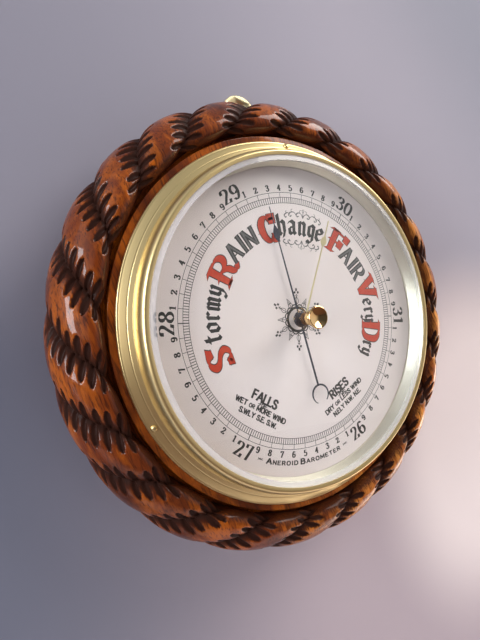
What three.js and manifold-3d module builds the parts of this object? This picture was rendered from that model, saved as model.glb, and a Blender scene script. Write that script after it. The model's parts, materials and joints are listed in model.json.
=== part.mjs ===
// Round wall aneroid barometer in a carved oak rope case.
// Millimetres, +Z up. The dial faces -Y, the wall is the plane y = 0, and the dial axis is the Y axis.
// "Forward" is the distance from the wall towards the viewer, so a point's y is minus its forward value.
// Angles on the dial run clockwise from the top, as the viewer sees them.

import * as THREE from 'three';
import { mergeVertices } from 'three/addons/utils/BufferGeometryUtils.js';
import Module from 'manifold-3d';

const wasm = await Module();
wasm.setup();

// General fits
const seatGap = 0.3;
const cutOverrun = 2;
const mergeTolerance = 0.0001;

// Dial, reflector and glass
const sightRadius = 101.6;
const dialThickness = 1.5;
const dialArborHoleRadius = 3.2;
const dialStandOff = 3.3;
const dialClearance = 5.5;
const handSpace = 9.4;
const glassThickness = 5;
const glassRimWidth = 3.5;
const glassBevelDrop = 3.2;
const glassHoleRadius = 2.6;
const reflectorRimWidth = 3.8;
const reflectorThickness = 0.8;
const reflectorLip = 1.6;
const reflectorFlange = 1.7;
const reflectorBendShare = 0.25;
const dialRingWidth = 5.7;
const dialRingThickness = 1.2;

// Bezel
const bezelEdgeThickness = 1.6;
const bezelFlangeWidth = 6.6;
const bezelFlangeRise = 3.5;
const bezelCoveWidth = 1.7;
const bezelCoveRise = 3.2;
const bezelLipWidth = 1.8;
const bezelBeadWidth = 3.5;
const bezelLipHeight = 0.75;
const bezelSeatWidth = 3;
const bezelSpigotWall = 2;
const bezelSpigotDepth = 9.3;
const bezelPinCount = 3;
const bezelPinRadius = 0.8;
const bezelPinHeadRadius = 1.9;
const bezelPinHeadHeight = 1.2;
const bezelPinLength = 14;
const bezelPinInset = 2.9;

// Carved rope case
const bandLedgeWidth = 4;
const quirkDepth = 6.5;
const quirkWidth = 1.8;
const ropeStrandCount = 22;
const ropeCentreOffset = 0.9;
const ropeCentreDrop = 21.1;
const ropeSectionRadius = 28.5;
const ropeBackSpare = 4.1;
const ropeShoulderRadius = 7;
const ropeShoulderDegrees = 68;
const ropeGrooveDepth = 4.2;
const ropeFirstGrooveDegrees = 12.4;
const ropeDriftDegrees = 2.1;
const ropeDriftPhaseDegrees = -9;
const ropeTwistShare = 0.95;
const ropeGrooveSharpness = 2.3;
const ropeNotchFirst = 5.5;
const ropeNotchPitch = 6.1;
const ropeNotchDepth = 1.4;
const ropeNotchShare = 0.25;
const ropeRootOverlap = 7.2;
const ropeRootMargin = 6;
const coreWallWidth = 6.8;
const caseBoreInset = 1.6;

// Back cover
const coverSeatWidth = 9.7;
const coverThickness = 11.7;
const coverScrewCount = 4;
const coverScrewInset = 4.8;
const coverScrewShankRadius = 1.8;
const coverScrewHeadRadius = 3.6;
const coverScrewLength = 26;

// Hanger plate
const hangerWidth = 27.8;
const hangerThickness = 2;
const hangerReach = 24.5;
const hangerFootMargin = 2.9;
const hangerCornerRadius = 4;
const hangerHoleRadius = 3.7;
const hangerHoleInset = 9.2;
const hangerScrewShankRadius = 1.4;
const hangerScrewHeadRadius = 2.7;
const hangerScrewLength = 15;
const hangerScrewSpread = 8.4;
const hangerScrewRise = 10.4;
const hangerScrewMargin = 4.4;

// Setting knob, stem and set hand
const knobBaseRadius = 4.5;
const knobLength = 8.4;
const knobDish = 1;
const knobBoreShare = 0.75;
const knobOutlineShares = [
  [1, 0], [1, 0.12], [0.82, 0.32], [0.92, 0.52], [1.34, 0.74], [1.54, 0.88], [1.54, 0.95], [1.44, 1],
];
const knobDishRimShare = 0.6;
const stemRadius = 2.2;
const stemTipRadius = 1.2;
const washerRadius = 4.2;
const washerThickness = 0.4;
const setHandLength = 66.9;
const setHandDegrees = 20.1;
const setHandHubRadius = 2.6;
const setHandRodWidth = 1;
const setHandTipWidth = 0.25;
const setHandThickness = 0.7;
const setHandLeafInset = 9.9;
const setHandLeafLength = 8.4;
const setHandLeafWidth = 4.4;
const setHandNutRadius = 2.1;
const setHandNutLength = 0.8;

// Pointer
const pointerDegrees = 345.4;
const pointerLength = 72.7;
const pointerThickness = 0.6;
const pointerRodWidth = 1.2;
const pointerTipWidth = 0.4;
const pointerLeafInset = 10.7;
const pointerLeafLength = 12;
const pointerLeafWidth = 4.6;
const pointerTailLength = 43.4;
const crescentOuterRadius = 6.5;
const crescentInnerRadius = 5.3;
const crescentShift = 1.8;
const pointerTailOverlap = 1.1;
const pointerBossRadius = 5.2;
const pointerBossThickness = 2.4;
const pointerLift = 2.3;
const bossCrownShare = 0.8;
const leafBellyShare = 0.42;
const leafShoulderShare = 0.25;

// Movement plate, pillars and arbor plate
const basePlateRadius = 60;
const basePlateThickness = 3;
const baseScrewCount = 3;
const baseScrewInset = 5;
const baseScrewShankRadius = 1.6;
const baseScrewHeadRadius = 3.2;
const baseScrewHeadHeight = 2;
const baseScrewDepth = 8;
const arborPlateWidth = 35;
const arborPlateHeight = 36;
const arborPlateThickness = 2.4;
const arborPlateCornerRadius = 6;
const arborPlateOffsetX = 2.5;
const arborPlateOffsetZ = 12;
const arborPlateDrop = 9.5;
const pillarRadius = 2.6;
const pillarInset = 5;
const pillarFootShare = 1.4;
const pillarScrewHeadRadius = 2.4;
const pillarScrewHeadHeight = 1.4;

// Arbor, drum, cock and hairspring
const arborRadius = 1;
const arborDrumRadius = 1.5;
const arborDrumLength = 4.5;
const arborPivotRadius = 0.6;
const runningGap = 0.1;
const cockLift = 3;
const cockThickness = 1.8;
const cockWidth = 7;
const cockReach = 15;
const cockFootRadius = 3;
const cockCornerRadius = 2.3;
const hairspringLift = 2.35;
const hairspringTurns = 4.5;
const hairspringInnerRadius = 2.2;
const hairspringOuterRadius = 8.4;
const hairspringWidth = 0.9;
const hairspringThickness = 0.25;
const hairspringCollarRadius = 1.7;
const hairspringStudRadius = 0.9;

// Vacuum capsule
const capsuleX = -6;
const capsuleZ = -17;
const capsuleRadius = 25;
const capsuleHeight = 8;
const capsuleWall = 0.35;
const capsuleRimWidth = 2;
const capsuleHubRadius = 5;
const capsuleWaveCount = 3;
const capsuleWaveHeight = 0.9;
const capsuleShoulderShare = 0.85;
const capsuleFootRadius = 6;
const capsuleFootHeight = 2;
const capsulePostRadius = 2.2;
const capsulePostFootShare = 2;
const capsulePostGap = 0.5;
const knifePinRadius = 0.9;
const knifePinLength = 11;

// Carriage, mainspring and main lever
const carriageLength = 26;
const carriageSpan = 54;
const carriageThickness = 2.4;
const carriageLegLength = 14;
const carriageFootWidth = 5;
const carriageTailWidth = 20;
const carriageTableRise = 13.1;
const carriageFrontX = -16;
const carriageScrewRadius = 1.5;
const carriageScrewHeadRadius = 2.4;
const carriageScrewHeadHeight = 1.5;
const springWidth = 30;
const springThickness = 1.4;
const springRise = 12.4;
const springTipReach = 6;
const springClampScrewX = -26;
const springScrewSpread = 10;
const leverPivotX = -13;
const leverThickness = 1.6;
const leverRootWidth = 12;
const leverTipWidth = 3;
const leverTailLength = 4;
const leverTipMargin = 3;

// Rocking shaft, link and chain
const rockingShaftX = 26;
const rockingShaftDrop = 9;
const rockingShaftRadius = 1.5;
const rockingShaftPivotRadius = 0.7;
const rockingShaftFrontZ = 7;
const rockingShaftRearZ = -27;
const rockingArmLength = 18;
const rockingArmWidth = 2.4;
const rockingArmThickness = 1.4;
const crankLength = 8;
const crankWidth = 3;
const crankThickness = 1.6;
const linkPinRadius = 0.5;
const linkEyeRadius = 2;
const linkEyeHoleRadius = 1.1;
const linkThickness = 1.2;
const linkBarWidth = 1.6;
const bearingBlockWidth = 6;
const bearingBlockThickness = 3;
const bearingBlockRise = 4;
const chainWidth = 0.9;
const chainThickness = 0.5;
const chainLinkPitch = 3;
const chainLinkShare = 0.75;
const chainCoreWidth = 0.3;
const chainCoreThickness = 0.25;
const chainHookGap = 1.2;

// Adjusting screw
const adjusterX = -40;
const adjusterZ = -17;
const adjusterShankRadius = 2;
const adjusterHeadRadius = 2.9;
const adjusterHeadLength = 2.8;
const adjusterSlotWidth = 0.9;
const adjusterSlotDepth = 1.1;
const accessHoleRadius = 3.8;

// Facet counts
const rimFacets = 36;
const strandFacets = 4;
const ropeBackSteps = 2;
const coveSteps = 2;
const beadSteps = 3;
const roundFacets = 16;
const smallFacets = 10;
const holeFacets = 8;
const cornerSteps = 4;
const capsuleFacets = 10;
const capsuleWaveSteps = 3;
const hairspringTurnSteps = 10;
const ribbonCorners = 4;

// Levels of the movement, from the back cover forwards
const coverLedgeForward = coverThickness + seatGap;
const basePlateBackForward = coverThickness + seatGap;
const basePlateFrontForward = basePlateBackForward + basePlateThickness;
const standForward = basePlateFrontForward + seatGap;
const baseScrewCircleRadius = basePlateRadius - baseScrewInset;
const carriageTableForward = standForward + carriageTableRise;
const springTopForward = carriageTableForward + carriageThickness + seatGap + springRise;
const arborPlateForward = springTopForward - arborPlateDrop;
const rockingShaftForward = arborPlateForward - rockingShaftDrop;
const drumForward = rockingShaftForward + rockingArmLength - arborDrumLength / 2;
const hairspringForward = drumForward + arborDrumLength + hairspringLift;
const cockForward = hairspringForward + hairspringWidth + cockLift;

// Levels of the dial, glass and case
const dialBackForward = cockForward + cockThickness + dialClearance;
const dialFaceForward = dialBackForward + dialThickness;
const bandForward = dialFaceForward - dialStandOff;
const bezelSeatForward = bandForward + seatGap;
const glassBackForward = dialFaceForward + handSpace;
const glassFrontForward = glassBackForward + glassThickness;
const spigotRebateForward = bezelSeatForward - bezelSpigotDepth - seatGap;
const ropeCentreForward = bandForward - ropeCentreDrop;
const ropeBackDepth = ropeCentreForward + ropeBackSpare;

// Radii from the sight edge outwards
const glassBevelRadius = sightRadius - glassRimWidth;
const reflectorInnerRadius = sightRadius - reflectorRimWidth;
const bezelSpigotRadius = sightRadius + bezelSeatWidth;
const dialRadius = bezelSpigotRadius - seatGap;
const dialRingInnerRadius = dialRadius - dialRingWidth;
const bezelCrownRadius = sightRadius + bezelLipWidth;
const bezelOuterRadius = bezelCrownRadius + bezelBeadWidth + bezelCoveWidth + bezelFlangeWidth;
const bezelPinCircleRadius = bezelOuterRadius - bezelPinInset;
const spigotOuterRadius = bezelSpigotRadius + bezelSpigotWall;
const caseBoreRadius = sightRadius - caseBoreInset;
const coverRadius = caseBoreRadius + coverSeatWidth;
const coverRebateRadius = coverRadius + seatGap;
const coverScrewCircleRadius = coverRadius - coverScrewInset;
const bandOuterRadius = bezelOuterRadius + bandLedgeWidth;
const coreOuterRadius = bandOuterRadius + coreWallWidth;
const ropeRootRadius = bandOuterRadius - ropeRootOverlap;
const ropeCentreRadius = bandOuterRadius + ropeCentreOffset;
const hangerBottomHeight = coverRadius + hangerFootMargin;
const hangerTopHeight = ropeCentreRadius + ropeSectionRadius + hangerReach;
const hangerHoleHeight = hangerTopHeight - hangerHoleInset;
const setHandLeafStart = setHandLength - setHandLeafLength - setHandLeafInset;
const pointerLeafStart = pointerLength - pointerLeafLength - pointerLeafInset;
const strandPitch = 2 * Math.PI / ropeStrandCount;

// Materials
const glassOpacityShare = 0.35;

function finish(color, roughness, metalness) {
  return new THREE.MeshStandardMaterial({ color, roughness, metalness });
}

const oak = finish(0x9a4f22, 0.28, 0);
const oakBack = finish(0x7a4a28, 0.6, 0);
const polishedBrass = finish(0xd9b565, 0.18, 1);
const paleBrass = finish(0xd8c48a, 0.35, 1);
const silveredBrass = finish(0xcfc7ae, 0.35, 1);
const movementBrass = finish(0xb9974f, 0.45, 1);
const dialWhite = finish(0xe9e3da, 0.45, 0);
const bluedSteel = finish(0x22242c, 0.3, 1);
const springSteel = finish(0x8a8c90, 0.35, 1);
const nickelSilver = finish(0xb5b3a8, 0.4, 1);
const washerLeather = finish(0x5a3b26, 0.8, 0);
const glass = finish(0xe6efec, 0.05, 0);
glass.transparent = true;
glass.opacity = glassOpacityShare;

const barometer = new THREE.Group();

function addPiece(name, solid, material) {
  const mesh = new THREE.Mesh(toGeometry(solid), material);
  mesh.name = name;
  barometer.add(mesh);
}

function addCopies(name, solids, material) {
  solids.forEach((solid, index) => addPiece(`${name}_${index + 1}`, solid, material));
}

// Closed solids and their joins

function signedVolume(positions, triangles) {
  const a = new THREE.Vector3();
  const b = new THREE.Vector3();
  const c = new THREE.Vector3();
  let total = 0;
  for (let i = 0; i < triangles.length; i += 3) {
    a.fromArray(positions, 3 * triangles[i]);
    b.fromArray(positions, 3 * triangles[i + 1]);
    c.fromArray(positions, 3 * triangles[i + 2]);
    total += a.dot(b.cross(c));
  }
  return total;
}

function toSolid(geometry) {
  const bare = geometry.clone();
  bare.deleteAttribute('normal');
  bare.deleteAttribute('uv');
  const merged = mergeVertices(bare, mergeTolerance);
  const positions = new Float32Array(merged.attributes.position.array);
  const corners = merged.index.array;
  const triangles = [];
  for (let i = 0; i < corners.length; i += 3) {
    const [p, q, r] = [corners[i], corners[i + 1], corners[i + 2]];
    if (p !== q && q !== r && r !== p) triangles.push(p, q, r);
  }
  if (signedVolume(positions, triangles) < 0) triangles.reverse();
  return new wasm.Manifold(new wasm.Mesh({
    numProp: 3,
    vertProperties: positions,
    triVerts: new Uint32Array(triangles),
  }));
}

function toGeometry(solid) {
  const mesh = solid.getMesh();
  const geometry = new THREE.BufferGeometry();
  geometry.setAttribute('position', new THREE.BufferAttribute(new Float32Array(mesh.vertProperties), 3));
  geometry.setIndex(new THREE.BufferAttribute(new Uint32Array(mesh.triVerts), 1));
  geometry.computeVertexNormals();
  return geometry;
}

function join(...solids) {
  return solids.reduce((whole, next) => whole.add(next));
}

function cut(solid, ...tools) {
  return tools.reduce((rest, tool) => rest.subtract(tool), solid);
}

// A solid turned about an axis along Y through (x, z). The outline lists [radius, forward] corners.
function turned(outline, facets, x = 0, z = 0) {
  const points = outline.map(([radius, forward]) => new THREE.Vector2(radius, -forward));
  points.push(points[0].clone());
  const geometry = new THREE.LatheGeometry(points, facets);
  geometry.translate(x, 0, z);
  return toSolid(geometry);
}

// A plain round bar along Y from one forward level to another
function bar(radius, fromForward, toForward, facets, x = 0, z = 0) {
  const outline = [[0, fromForward], [radius, fromForward], [radius, toForward], [0, toForward]];
  return turned(outline, facets, x, z);
}

// A countersunk screw set flush from behind: flat head, cone and shank along Y
function countersunkScrew(shankRadius, headRadius, length, spare, x, z) {
  const start = seatGap - spare;
  const neck = start + headRadius - shankRadius + spare;
  const outline = [
    [0, start],
    [headRadius + spare, start],
    [shankRadius + spare, neck + spare],
    [shankRadius + spare, length + spare],
    [0, length + spare],
  ];
  return turned(outline, holeFacets, x, z);
}

// A flat plate whose outline is drawn in the X-Z plane, from its back level forward
function plate(shape, backForward, thickness, curveSegments = smallFacets) {
  const geometry = new THREE.ExtrudeGeometry(shape, { depth: thickness, bevelEnabled: false, curveSegments });
  geometry.rotateX(Math.PI / 2);
  geometry.translate(0, -backForward, 0);
  return toSolid(geometry);
}

// A strip whose outline is drawn in the X-forward plane and carried across in Z
function crossStrip(shape, centreZ, width, curveSegments = smallFacets) {
  const geometry = new THREE.ExtrudeGeometry(shape, { depth: width, bevelEnabled: false, curveSegments });
  geometry.rotateX(Math.PI);
  geometry.translate(0, 0, centreZ + width / 2);
  return toSolid(geometry);
}

// A round bar along Z between two heights
function crossBar(radius, x, forward, fromZ, toZ, facets) {
  const geometry = new THREE.CylinderGeometry(radius, radius, toZ - fromZ, facets);
  geometry.rotateX(Math.PI / 2);
  geometry.translate(x, -forward, (fromZ + toZ) / 2);
  return toSolid(geometry);
}

function block(lowX, highX, lowForward, highForward, lowZ, highZ) {
  const geometry = new THREE.BoxGeometry(highX - lowX, highForward - lowForward, highZ - lowZ);
  geometry.translate((lowX + highX) / 2, -(lowForward + highForward) / 2, (lowZ + highZ) / 2);
  return toSolid(geometry);
}

function roundedRectangle(centreX, centreZ, width, height, corner) {
  const left = centreX - width / 2;
  const right = centreX + width / 2;
  const low = centreZ - height / 2;
  const high = centreZ + height / 2;
  const shape = new THREE.Shape();
  shape.absarc(right - corner, low + corner, corner, -Math.PI / 2, 0, false);
  shape.absarc(right - corner, high - corner, corner, 0, Math.PI / 2, false);
  shape.absarc(left + corner, high - corner, corner, Math.PI / 2, Math.PI, false);
  shape.absarc(left + corner, low + corner, corner, Math.PI, 3 * Math.PI / 2, false);
  return shape;
}

// Turn a solid about the dial axis, clockwise as the viewer sees it
function turnAboutDial(solid, degrees) {
  const geometry = toGeometry(solid);
  geometry.rotateY(THREE.MathUtils.degToRad(degrees));
  return toSolid(geometry);
}

function polygon(corners) {
  return new THREE.Shape(corners.map(([x, y]) => new THREE.Vector2(x, y)));
}

// Carved rope case
// The section runs from the quirk beside the band, over the shoulder and crest, round the outside and
// in to the flat back. Gouge cuts lie beside each groove, in turn on its one side and on its other.

function shoulderStation(angle, travel, notchShare) {
  const reach = ropeSectionRadius - ropeShoulderRadius;
  const shoulder = THREE.MathUtils.degToRad(ropeShoulderDegrees);
  const hubRadius = ropeCentreRadius + reach * Math.cos(shoulder);
  const hubForward = ropeCentreForward + reach * Math.sin(shoulder);
  const tilt = [Math.cos(angle), Math.sin(angle)];
  const radius = hubRadius + ropeShoulderRadius * tilt[0];
  const forward = hubForward + ropeShoulderRadius * tilt[1];
  return { radius, forward, tilt, travel, notchShare };
}

function outerStation(angle, depth, travel, notchShare) {
  const tilt = [Math.cos(angle), Math.sin(angle)];
  const radius = ropeCentreRadius + ropeSectionRadius * tilt[0];
  const forward = ropeCentreForward + depth * tilt[1];
  return { radius, forward, tilt, travel, notchShare };
}

function ropeStations() {
  const shoulder = THREE.MathUtils.degToRad(ropeShoulderDegrees);
  const shoulderTravel = ropeShoulderRadius * (Math.PI - shoulder);
  const widestTravel = shoulderTravel + ropeSectionRadius * shoulder;
  const foot = shoulderStation(Math.PI, 0, null);
  const stations = [{ ...foot, forward: bandForward - quirkDepth - seatGap }, foot];
  const step = ropeNotchPitch / 2;
  let side = ropeNotchShare;
  for (let travel = ropeNotchFirst; travel < widestTravel - step / 2; travel += step) {
    if (travel < shoulderTravel) {
      stations.push(shoulderStation(Math.PI - travel / ropeShoulderRadius, travel, side));
    } else {
      const angle = (widestTravel - travel) / ropeSectionRadius;
      stations.push(outerStation(angle, ropeSectionRadius, travel, side));
    }
    side = 1 - side;
  }
  const backAngle = Math.asin(ropeCentreForward / ropeBackDepth);
  let last = outerStation(0, ropeBackDepth, widestTravel, null);
  stations.push(last);
  for (let index = 1; index <= ropeBackSteps; index += 1) {
    const next = outerStation(-backAngle * index / ropeBackSteps, ropeBackDepth, 0, null);
    next.travel = last.travel + Math.hypot(next.radius - last.radius, next.forward - last.forward);
    stations.push(next);
    last = next;
  }
  last.forward = 0;
  last.tilt = [last.tilt[0], 0];
  return { stations, widestTravel };
}

function carvedRope() {
  const { stations, widestTravel } = ropeStations();
  const flat = { tilt: [0, 0], travel: widestTravel, notchShare: null };
  const root = [
    { radius: ropeRootRadius, forward: 0, ...flat },
    { radius: ropeRootRadius, forward: bandForward - quirkDepth - ropeRootMargin, ...flat },
  ];
  const rows = [...stations, ...root];
  const ringSteps = ropeStrandCount * strandFacets;
  const rowCount = rows.length;
  const positions = [];
  const drift = THREE.MathUtils.degToRad(ropeDriftDegrees);
  const driftPhase = THREE.MathUtils.degToRad(ropeDriftPhaseDegrees);
  for (let ring = 0; ring < ringSteps; ring += 1) {
    const share = (ring % strandFacets) / strandFacets;
    const groove = ropeGrooveDepth * Math.abs(2 * share - 1) ** ropeGrooveSharpness;
    const plain = THREE.MathUtils.degToRad(ropeFirstGrooveDegrees) + ring * strandPitch / strandFacets;
    for (const { radius, forward, tilt, travel, notchShare } of rows) {
      const straight = plain + ropeTwistShare * strandPitch * (travel / widestTravel - 1);
      const angle = straight + drift * Math.sin(straight - driftPhase);
      const cut = groove + (share === notchShare ? ropeNotchDepth : 0);
      const r = radius - cut * tilt[0];
      positions.push(r * Math.sin(angle), -(forward - cut * tilt[1]), r * Math.cos(angle));
    }
  }
  const triangles = [];
  for (let ring = 0; ring < ringSteps; ring += 1) {
    const next = (ring + 1) % ringSteps;
    for (let row = 0; row < rowCount; row += 1) {
      const above = (row + 1) % rowCount;
      const a = ring * rowCount + row;
      const b = next * rowCount + row;
      const c = next * rowCount + above;
      const d = ring * rowCount + above;
      triangles.push(a, b, c, a, c, d);
    }
  }
  const geometry = new THREE.BufferGeometry();
  geometry.setAttribute('position', new THREE.BufferAttribute(new Float32Array(positions), 3));
  geometry.setIndex(triangles);
  return toSolid(geometry);
}

function caseCore() {
  const rebateRadius = spigotOuterRadius + seatGap;
  const quirkFloor = bandForward - quirkDepth;
  return turned([
    [coverRebateRadius, 0],
    [coreOuterRadius, 0],
    [coreOuterRadius, quirkFloor],
    [bandOuterRadius + quirkWidth, quirkFloor],
    [bandOuterRadius, quirkFloor + quirkWidth],
    [bandOuterRadius, bandForward - seatGap],
    [bandOuterRadius - seatGap, bandForward],
    [rebateRadius, bandForward],
    [rebateRadius, spigotRebateForward],
    [caseBoreRadius, spigotRebateForward],
    [caseBoreRadius, coverLedgeForward],
    [coverRebateRadius, coverLedgeForward],
  ], rimFacets);
}

// Hanger plate and its screws

function hangerOutline(spare) {
  const half = hangerWidth / 2 + spare;
  const topCentre = hangerTopHeight - hangerWidth / 2;
  const low = hangerBottomHeight - spare;
  const corner = hangerCornerRadius + spare;
  const shape = new THREE.Shape();
  shape.absarc(half - corner, low + corner, corner, -Math.PI / 2, 0, false);
  shape.absarc(0, topCentre, half, 0, Math.PI, false);
  shape.absarc(corner - half, low + corner, corner, Math.PI, 3 * Math.PI / 2, false);
  return shape;
}

function hangerScrewPlaces() {
  const low = hangerBottomHeight + hangerScrewMargin;
  return [
    [0, low],
    [-hangerScrewSpread, low + hangerScrewRise],
    [hangerScrewSpread, low + hangerScrewRise],
  ];
}

function hangerScrews(spare) {
  return hangerScrewPlaces().map(([x, z]) => (
    countersunkScrew(hangerScrewShankRadius, hangerScrewHeadRadius, hangerScrewLength, spare, x, z)));
}

function hangerPlate() {
  const whole = plate(hangerOutline(0), 0, hangerThickness, holeFacets);
  const nailHole = bar(hangerHoleRadius, -cutOverrun, hangerThickness + cutOverrun,
    roundFacets, 0, hangerHoleHeight);
  return cut(whole, nailHole, ...hangerScrews(seatGap));
}

// Back cover

function coverScrewPlaces() {
  return Array.from({ length: coverScrewCount }, (_, index) => {
    const angle = 2 * Math.PI * (index + 1 / 2) / coverScrewCount;
    return [coverScrewCircleRadius * Math.sin(angle), coverScrewCircleRadius * Math.cos(angle)];
  });
}

function coverScrews(spare) {
  return coverScrewPlaces().map(([x, z]) => (
    countersunkScrew(coverScrewShankRadius, coverScrewHeadRadius, coverScrewLength, spare, x, z)));
}

function baseScrewPlaces() {
  return Array.from({ length: baseScrewCount }, (_, index) => {
    const angle = 2 * Math.PI * index / baseScrewCount;
    return [baseScrewCircleRadius * Math.sin(angle), baseScrewCircleRadius * Math.cos(angle)];
  });
}

function baseScrews(spare) {
  const headForward = basePlateFrontForward + seatGap;
  return baseScrewPlaces().map(([x, z]) => turned([
    [0, baseScrewDepth / 2 - spare],
    [baseScrewShankRadius + spare, baseScrewDepth / 2 - spare],
    [baseScrewShankRadius + spare, headForward],
    [baseScrewHeadRadius, headForward],
    [baseScrewHeadRadius, headForward + baseScrewHeadHeight / 2],
    [baseScrewHeadRadius / 2, headForward + baseScrewHeadHeight],
    [0, headForward + baseScrewHeadHeight],
  ], holeFacets, x, z));
}

function backCover() {
  const disc = bar(coverRadius, 0, coverThickness, rimFacets);
  const access = bar(accessHoleRadius, -cutOverrun, coverThickness + cutOverrun,
    roundFacets, adjusterX, adjusterZ);
  return cut(disc, ...coverScrews(seatGap), ...baseScrews(seatGap), access);
}

// Bezel, its pins, glass, reflector and dial

function bevelForward(radius) {
  const slope = glassBevelDrop / (dialRadius - glassBevelRadius);
  return glassFrontForward - slope * (radius - glassBevelRadius);
}

function ellipseArc(centre, semiRadius, semiForward, startDegrees, endDegrees, steps) {
  const points = [];
  for (let step = 0; step <= steps; step += 1) {
    const angle = THREE.MathUtils.degToRad(startDegrees + (endDegrees - startDegrees) * step / steps);
    points.push([centre[0] + semiRadius * Math.cos(angle), centre[1] + semiForward * Math.sin(angle)]);
  }
  return points;
}

function bezelRing() {
  const edgeForward = bezelSeatForward + bezelEdgeThickness;
  const flangeInner = bezelOuterRadius - bezelFlangeWidth;
  const flangeForward = edgeForward + bezelFlangeRise;
  const beadFoot = [flangeInner - bezelCoveWidth, flangeForward + bezelCoveRise];
  const lipBack = bevelForward(sightRadius) + seatGap;
  const lipFront = lipBack + bezelLipHeight;
  const crownForward = lipFront + bezelLipHeight;
  const beadWidth = beadFoot[0] - bezelCrownRadius;
  const beadRise = crownForward - beadFoot[1];
  const cove = ellipseArc([flangeInner, beadFoot[1]], bezelCoveWidth, bezelCoveRise, 270, 180, coveSteps);
  const bead = ellipseArc([bezelCrownRadius, beadFoot[1]], beadWidth, beadRise, 0, 90, beadSteps);
  return turned([
    [spigotOuterRadius, bezelSeatForward],
    [bezelOuterRadius, bezelSeatForward],
    [bezelOuterRadius, edgeForward],
    ...cove,
    ...bead.slice(1),
    [sightRadius, lipFront],
    [sightRadius, lipBack],
    [bezelSpigotRadius, bevelForward(bezelSpigotRadius) + seatGap],
    [bezelSpigotRadius, bezelSeatForward - bezelSpigotDepth],
    [spigotOuterRadius, bezelSeatForward - bezelSpigotDepth],
  ], rimFacets);
}

// Round-headed pins, driven square to the sloping flange
function bezelPins(spare) {
  const slope = Math.atan2(bezelFlangeRise, bezelFlangeWidth);
  const flangeShare = (bezelOuterRadius - bezelPinCircleRadius) / bezelFlangeWidth;
  const surface = bezelSeatForward + bezelEdgeThickness + bezelFlangeRise * flangeShare;
  const headRadius = spare > 0 ? bezelPinRadius + spare : bezelPinHeadRadius;
  const pin = turned([
    [0, -bezelPinLength - spare],
    [bezelPinRadius + spare, -bezelPinLength - spare],
    [bezelPinRadius + spare, seatGap],
    [headRadius, seatGap],
    [headRadius * Math.SQRT1_2, seatGap + bezelPinHeadHeight * Math.SQRT1_2],
    [0, seatGap + bezelPinHeadHeight],
  ], holeFacets);
  return Array.from({ length: bezelPinCount }, (_, index) => {
    const geometry = toGeometry(pin);
    geometry.rotateX(-slope);
    geometry.translate(0, -surface, bezelPinCircleRadius);
    geometry.rotateY(2 * Math.PI * index / bezelPinCount);
    return toSolid(geometry);
  });
}

function bevelledGlass() {
  return turned([
    [glassHoleRadius, glassBackForward],
    [dialRadius, glassBackForward],
    [dialRadius, bevelForward(dialRadius)],
    [glassBevelRadius, glassFrontForward],
    [glassHoleRadius, glassFrontForward],
  ], rimFacets);
}

function reflectorRing() {
  const low = dialFaceForward + seatGap;
  const high = glassBackForward - seatGap;
  const coneTop = dialRadius - reflectorFlange;
  const bend = reflectorThickness * reflectorBendShare;
  return turned([
    [reflectorInnerRadius, low],
    [reflectorInnerRadius + reflectorThickness, low],
    [coneTop + reflectorThickness / 2, high - reflectorThickness],
    [dialRadius, high - reflectorThickness],
    [dialRadius, high],
    [coneTop, high],
    [reflectorInnerRadius + bend, low + reflectorLip],
    [reflectorInnerRadius, low + reflectorLip - bend],
  ], rimFacets);
}

function dialPlate() {
  return turned([
    [dialArborHoleRadius, dialBackForward],
    [dialRadius, dialBackForward],
    [dialRadius, dialFaceForward],
    [dialArborHoleRadius, dialFaceForward],
  ], rimFacets);
}

function dialRing() {
  const high = dialBackForward - seatGap;
  return turned([
    [dialRingInnerRadius, high - dialRingThickness],
    [dialRadius, high - dialRingThickness],
    [dialRadius, high],
    [dialRingInnerRadius, high],
  ], rimFacets);
}

// Setting knob, stem and set hand

const washerForward = glassFrontForward + seatGap;
const knobForward = washerForward + washerThickness + seatGap;
const setHandForward = glassBackForward - seatGap - washerThickness - seatGap - setHandThickness;
const setHandNutForward = setHandForward - seatGap - setHandNutLength;

function settingKnob() {
  const front = knobForward + knobLength;
  const boreEnd = knobForward + knobLength * knobBoreShare;
  const flare = knobOutlineShares.map(([across, along]) => (
    [knobBaseRadius * across, knobForward + knobLength * along]));
  return turned([
    [stemRadius + seatGap, knobForward],
    ...flare,
    [knobBaseRadius * knobDishRimShare, front - knobDish],
    [0, front - knobDish],
    [0, boreEnd],
    [stemRadius + seatGap, boreEnd],
  ], roundFacets);
}

function settingStem() {
  const high = knobForward + knobLength * knobBoreShare - seatGap;
  const shoulder = glassBackForward - seatGap - washerThickness - seatGap;
  return turned([
    [0, setHandNutForward],
    [stemTipRadius, setHandNutForward],
    [stemTipRadius, shoulder],
    [stemRadius, shoulder],
    [stemRadius, high],
    [0, high],
  ], roundFacets);
}

function washer(low) {
  return turned([
    [stemRadius + seatGap, low],
    [washerRadius, low],
    [washerRadius, low + washerThickness],
    [stemRadius + seatGap, low + washerThickness],
  ], smallFacets);
}

function leafShape(start, length, width, rootWidth) {
  const middle = start + length * leafBellyShare;
  const shoulder = middle + length * leafShoulderShare;
  const shape = new THREE.Shape();
  shape.moveTo(rootWidth / 2, start);
  shape.quadraticCurveTo(width / 2, start, width / 2, middle);
  shape.quadraticCurveTo(width * leafShoulderShare, shoulder, 0, start + length);
  shape.quadraticCurveTo(-width * leafShoulderShare, shoulder, -width / 2, middle);
  shape.quadraticCurveTo(-width / 2, start, -rootWidth / 2, start);
  return shape;
}

function taperedRod(fromRadius, toRadius, fromWidth, toWidth) {
  return polygon([
    [fromWidth / 2, fromRadius],
    [toWidth / 2, toRadius],
    [-toWidth / 2, toRadius],
    [-fromWidth / 2, fromRadius],
  ]);
}

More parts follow.
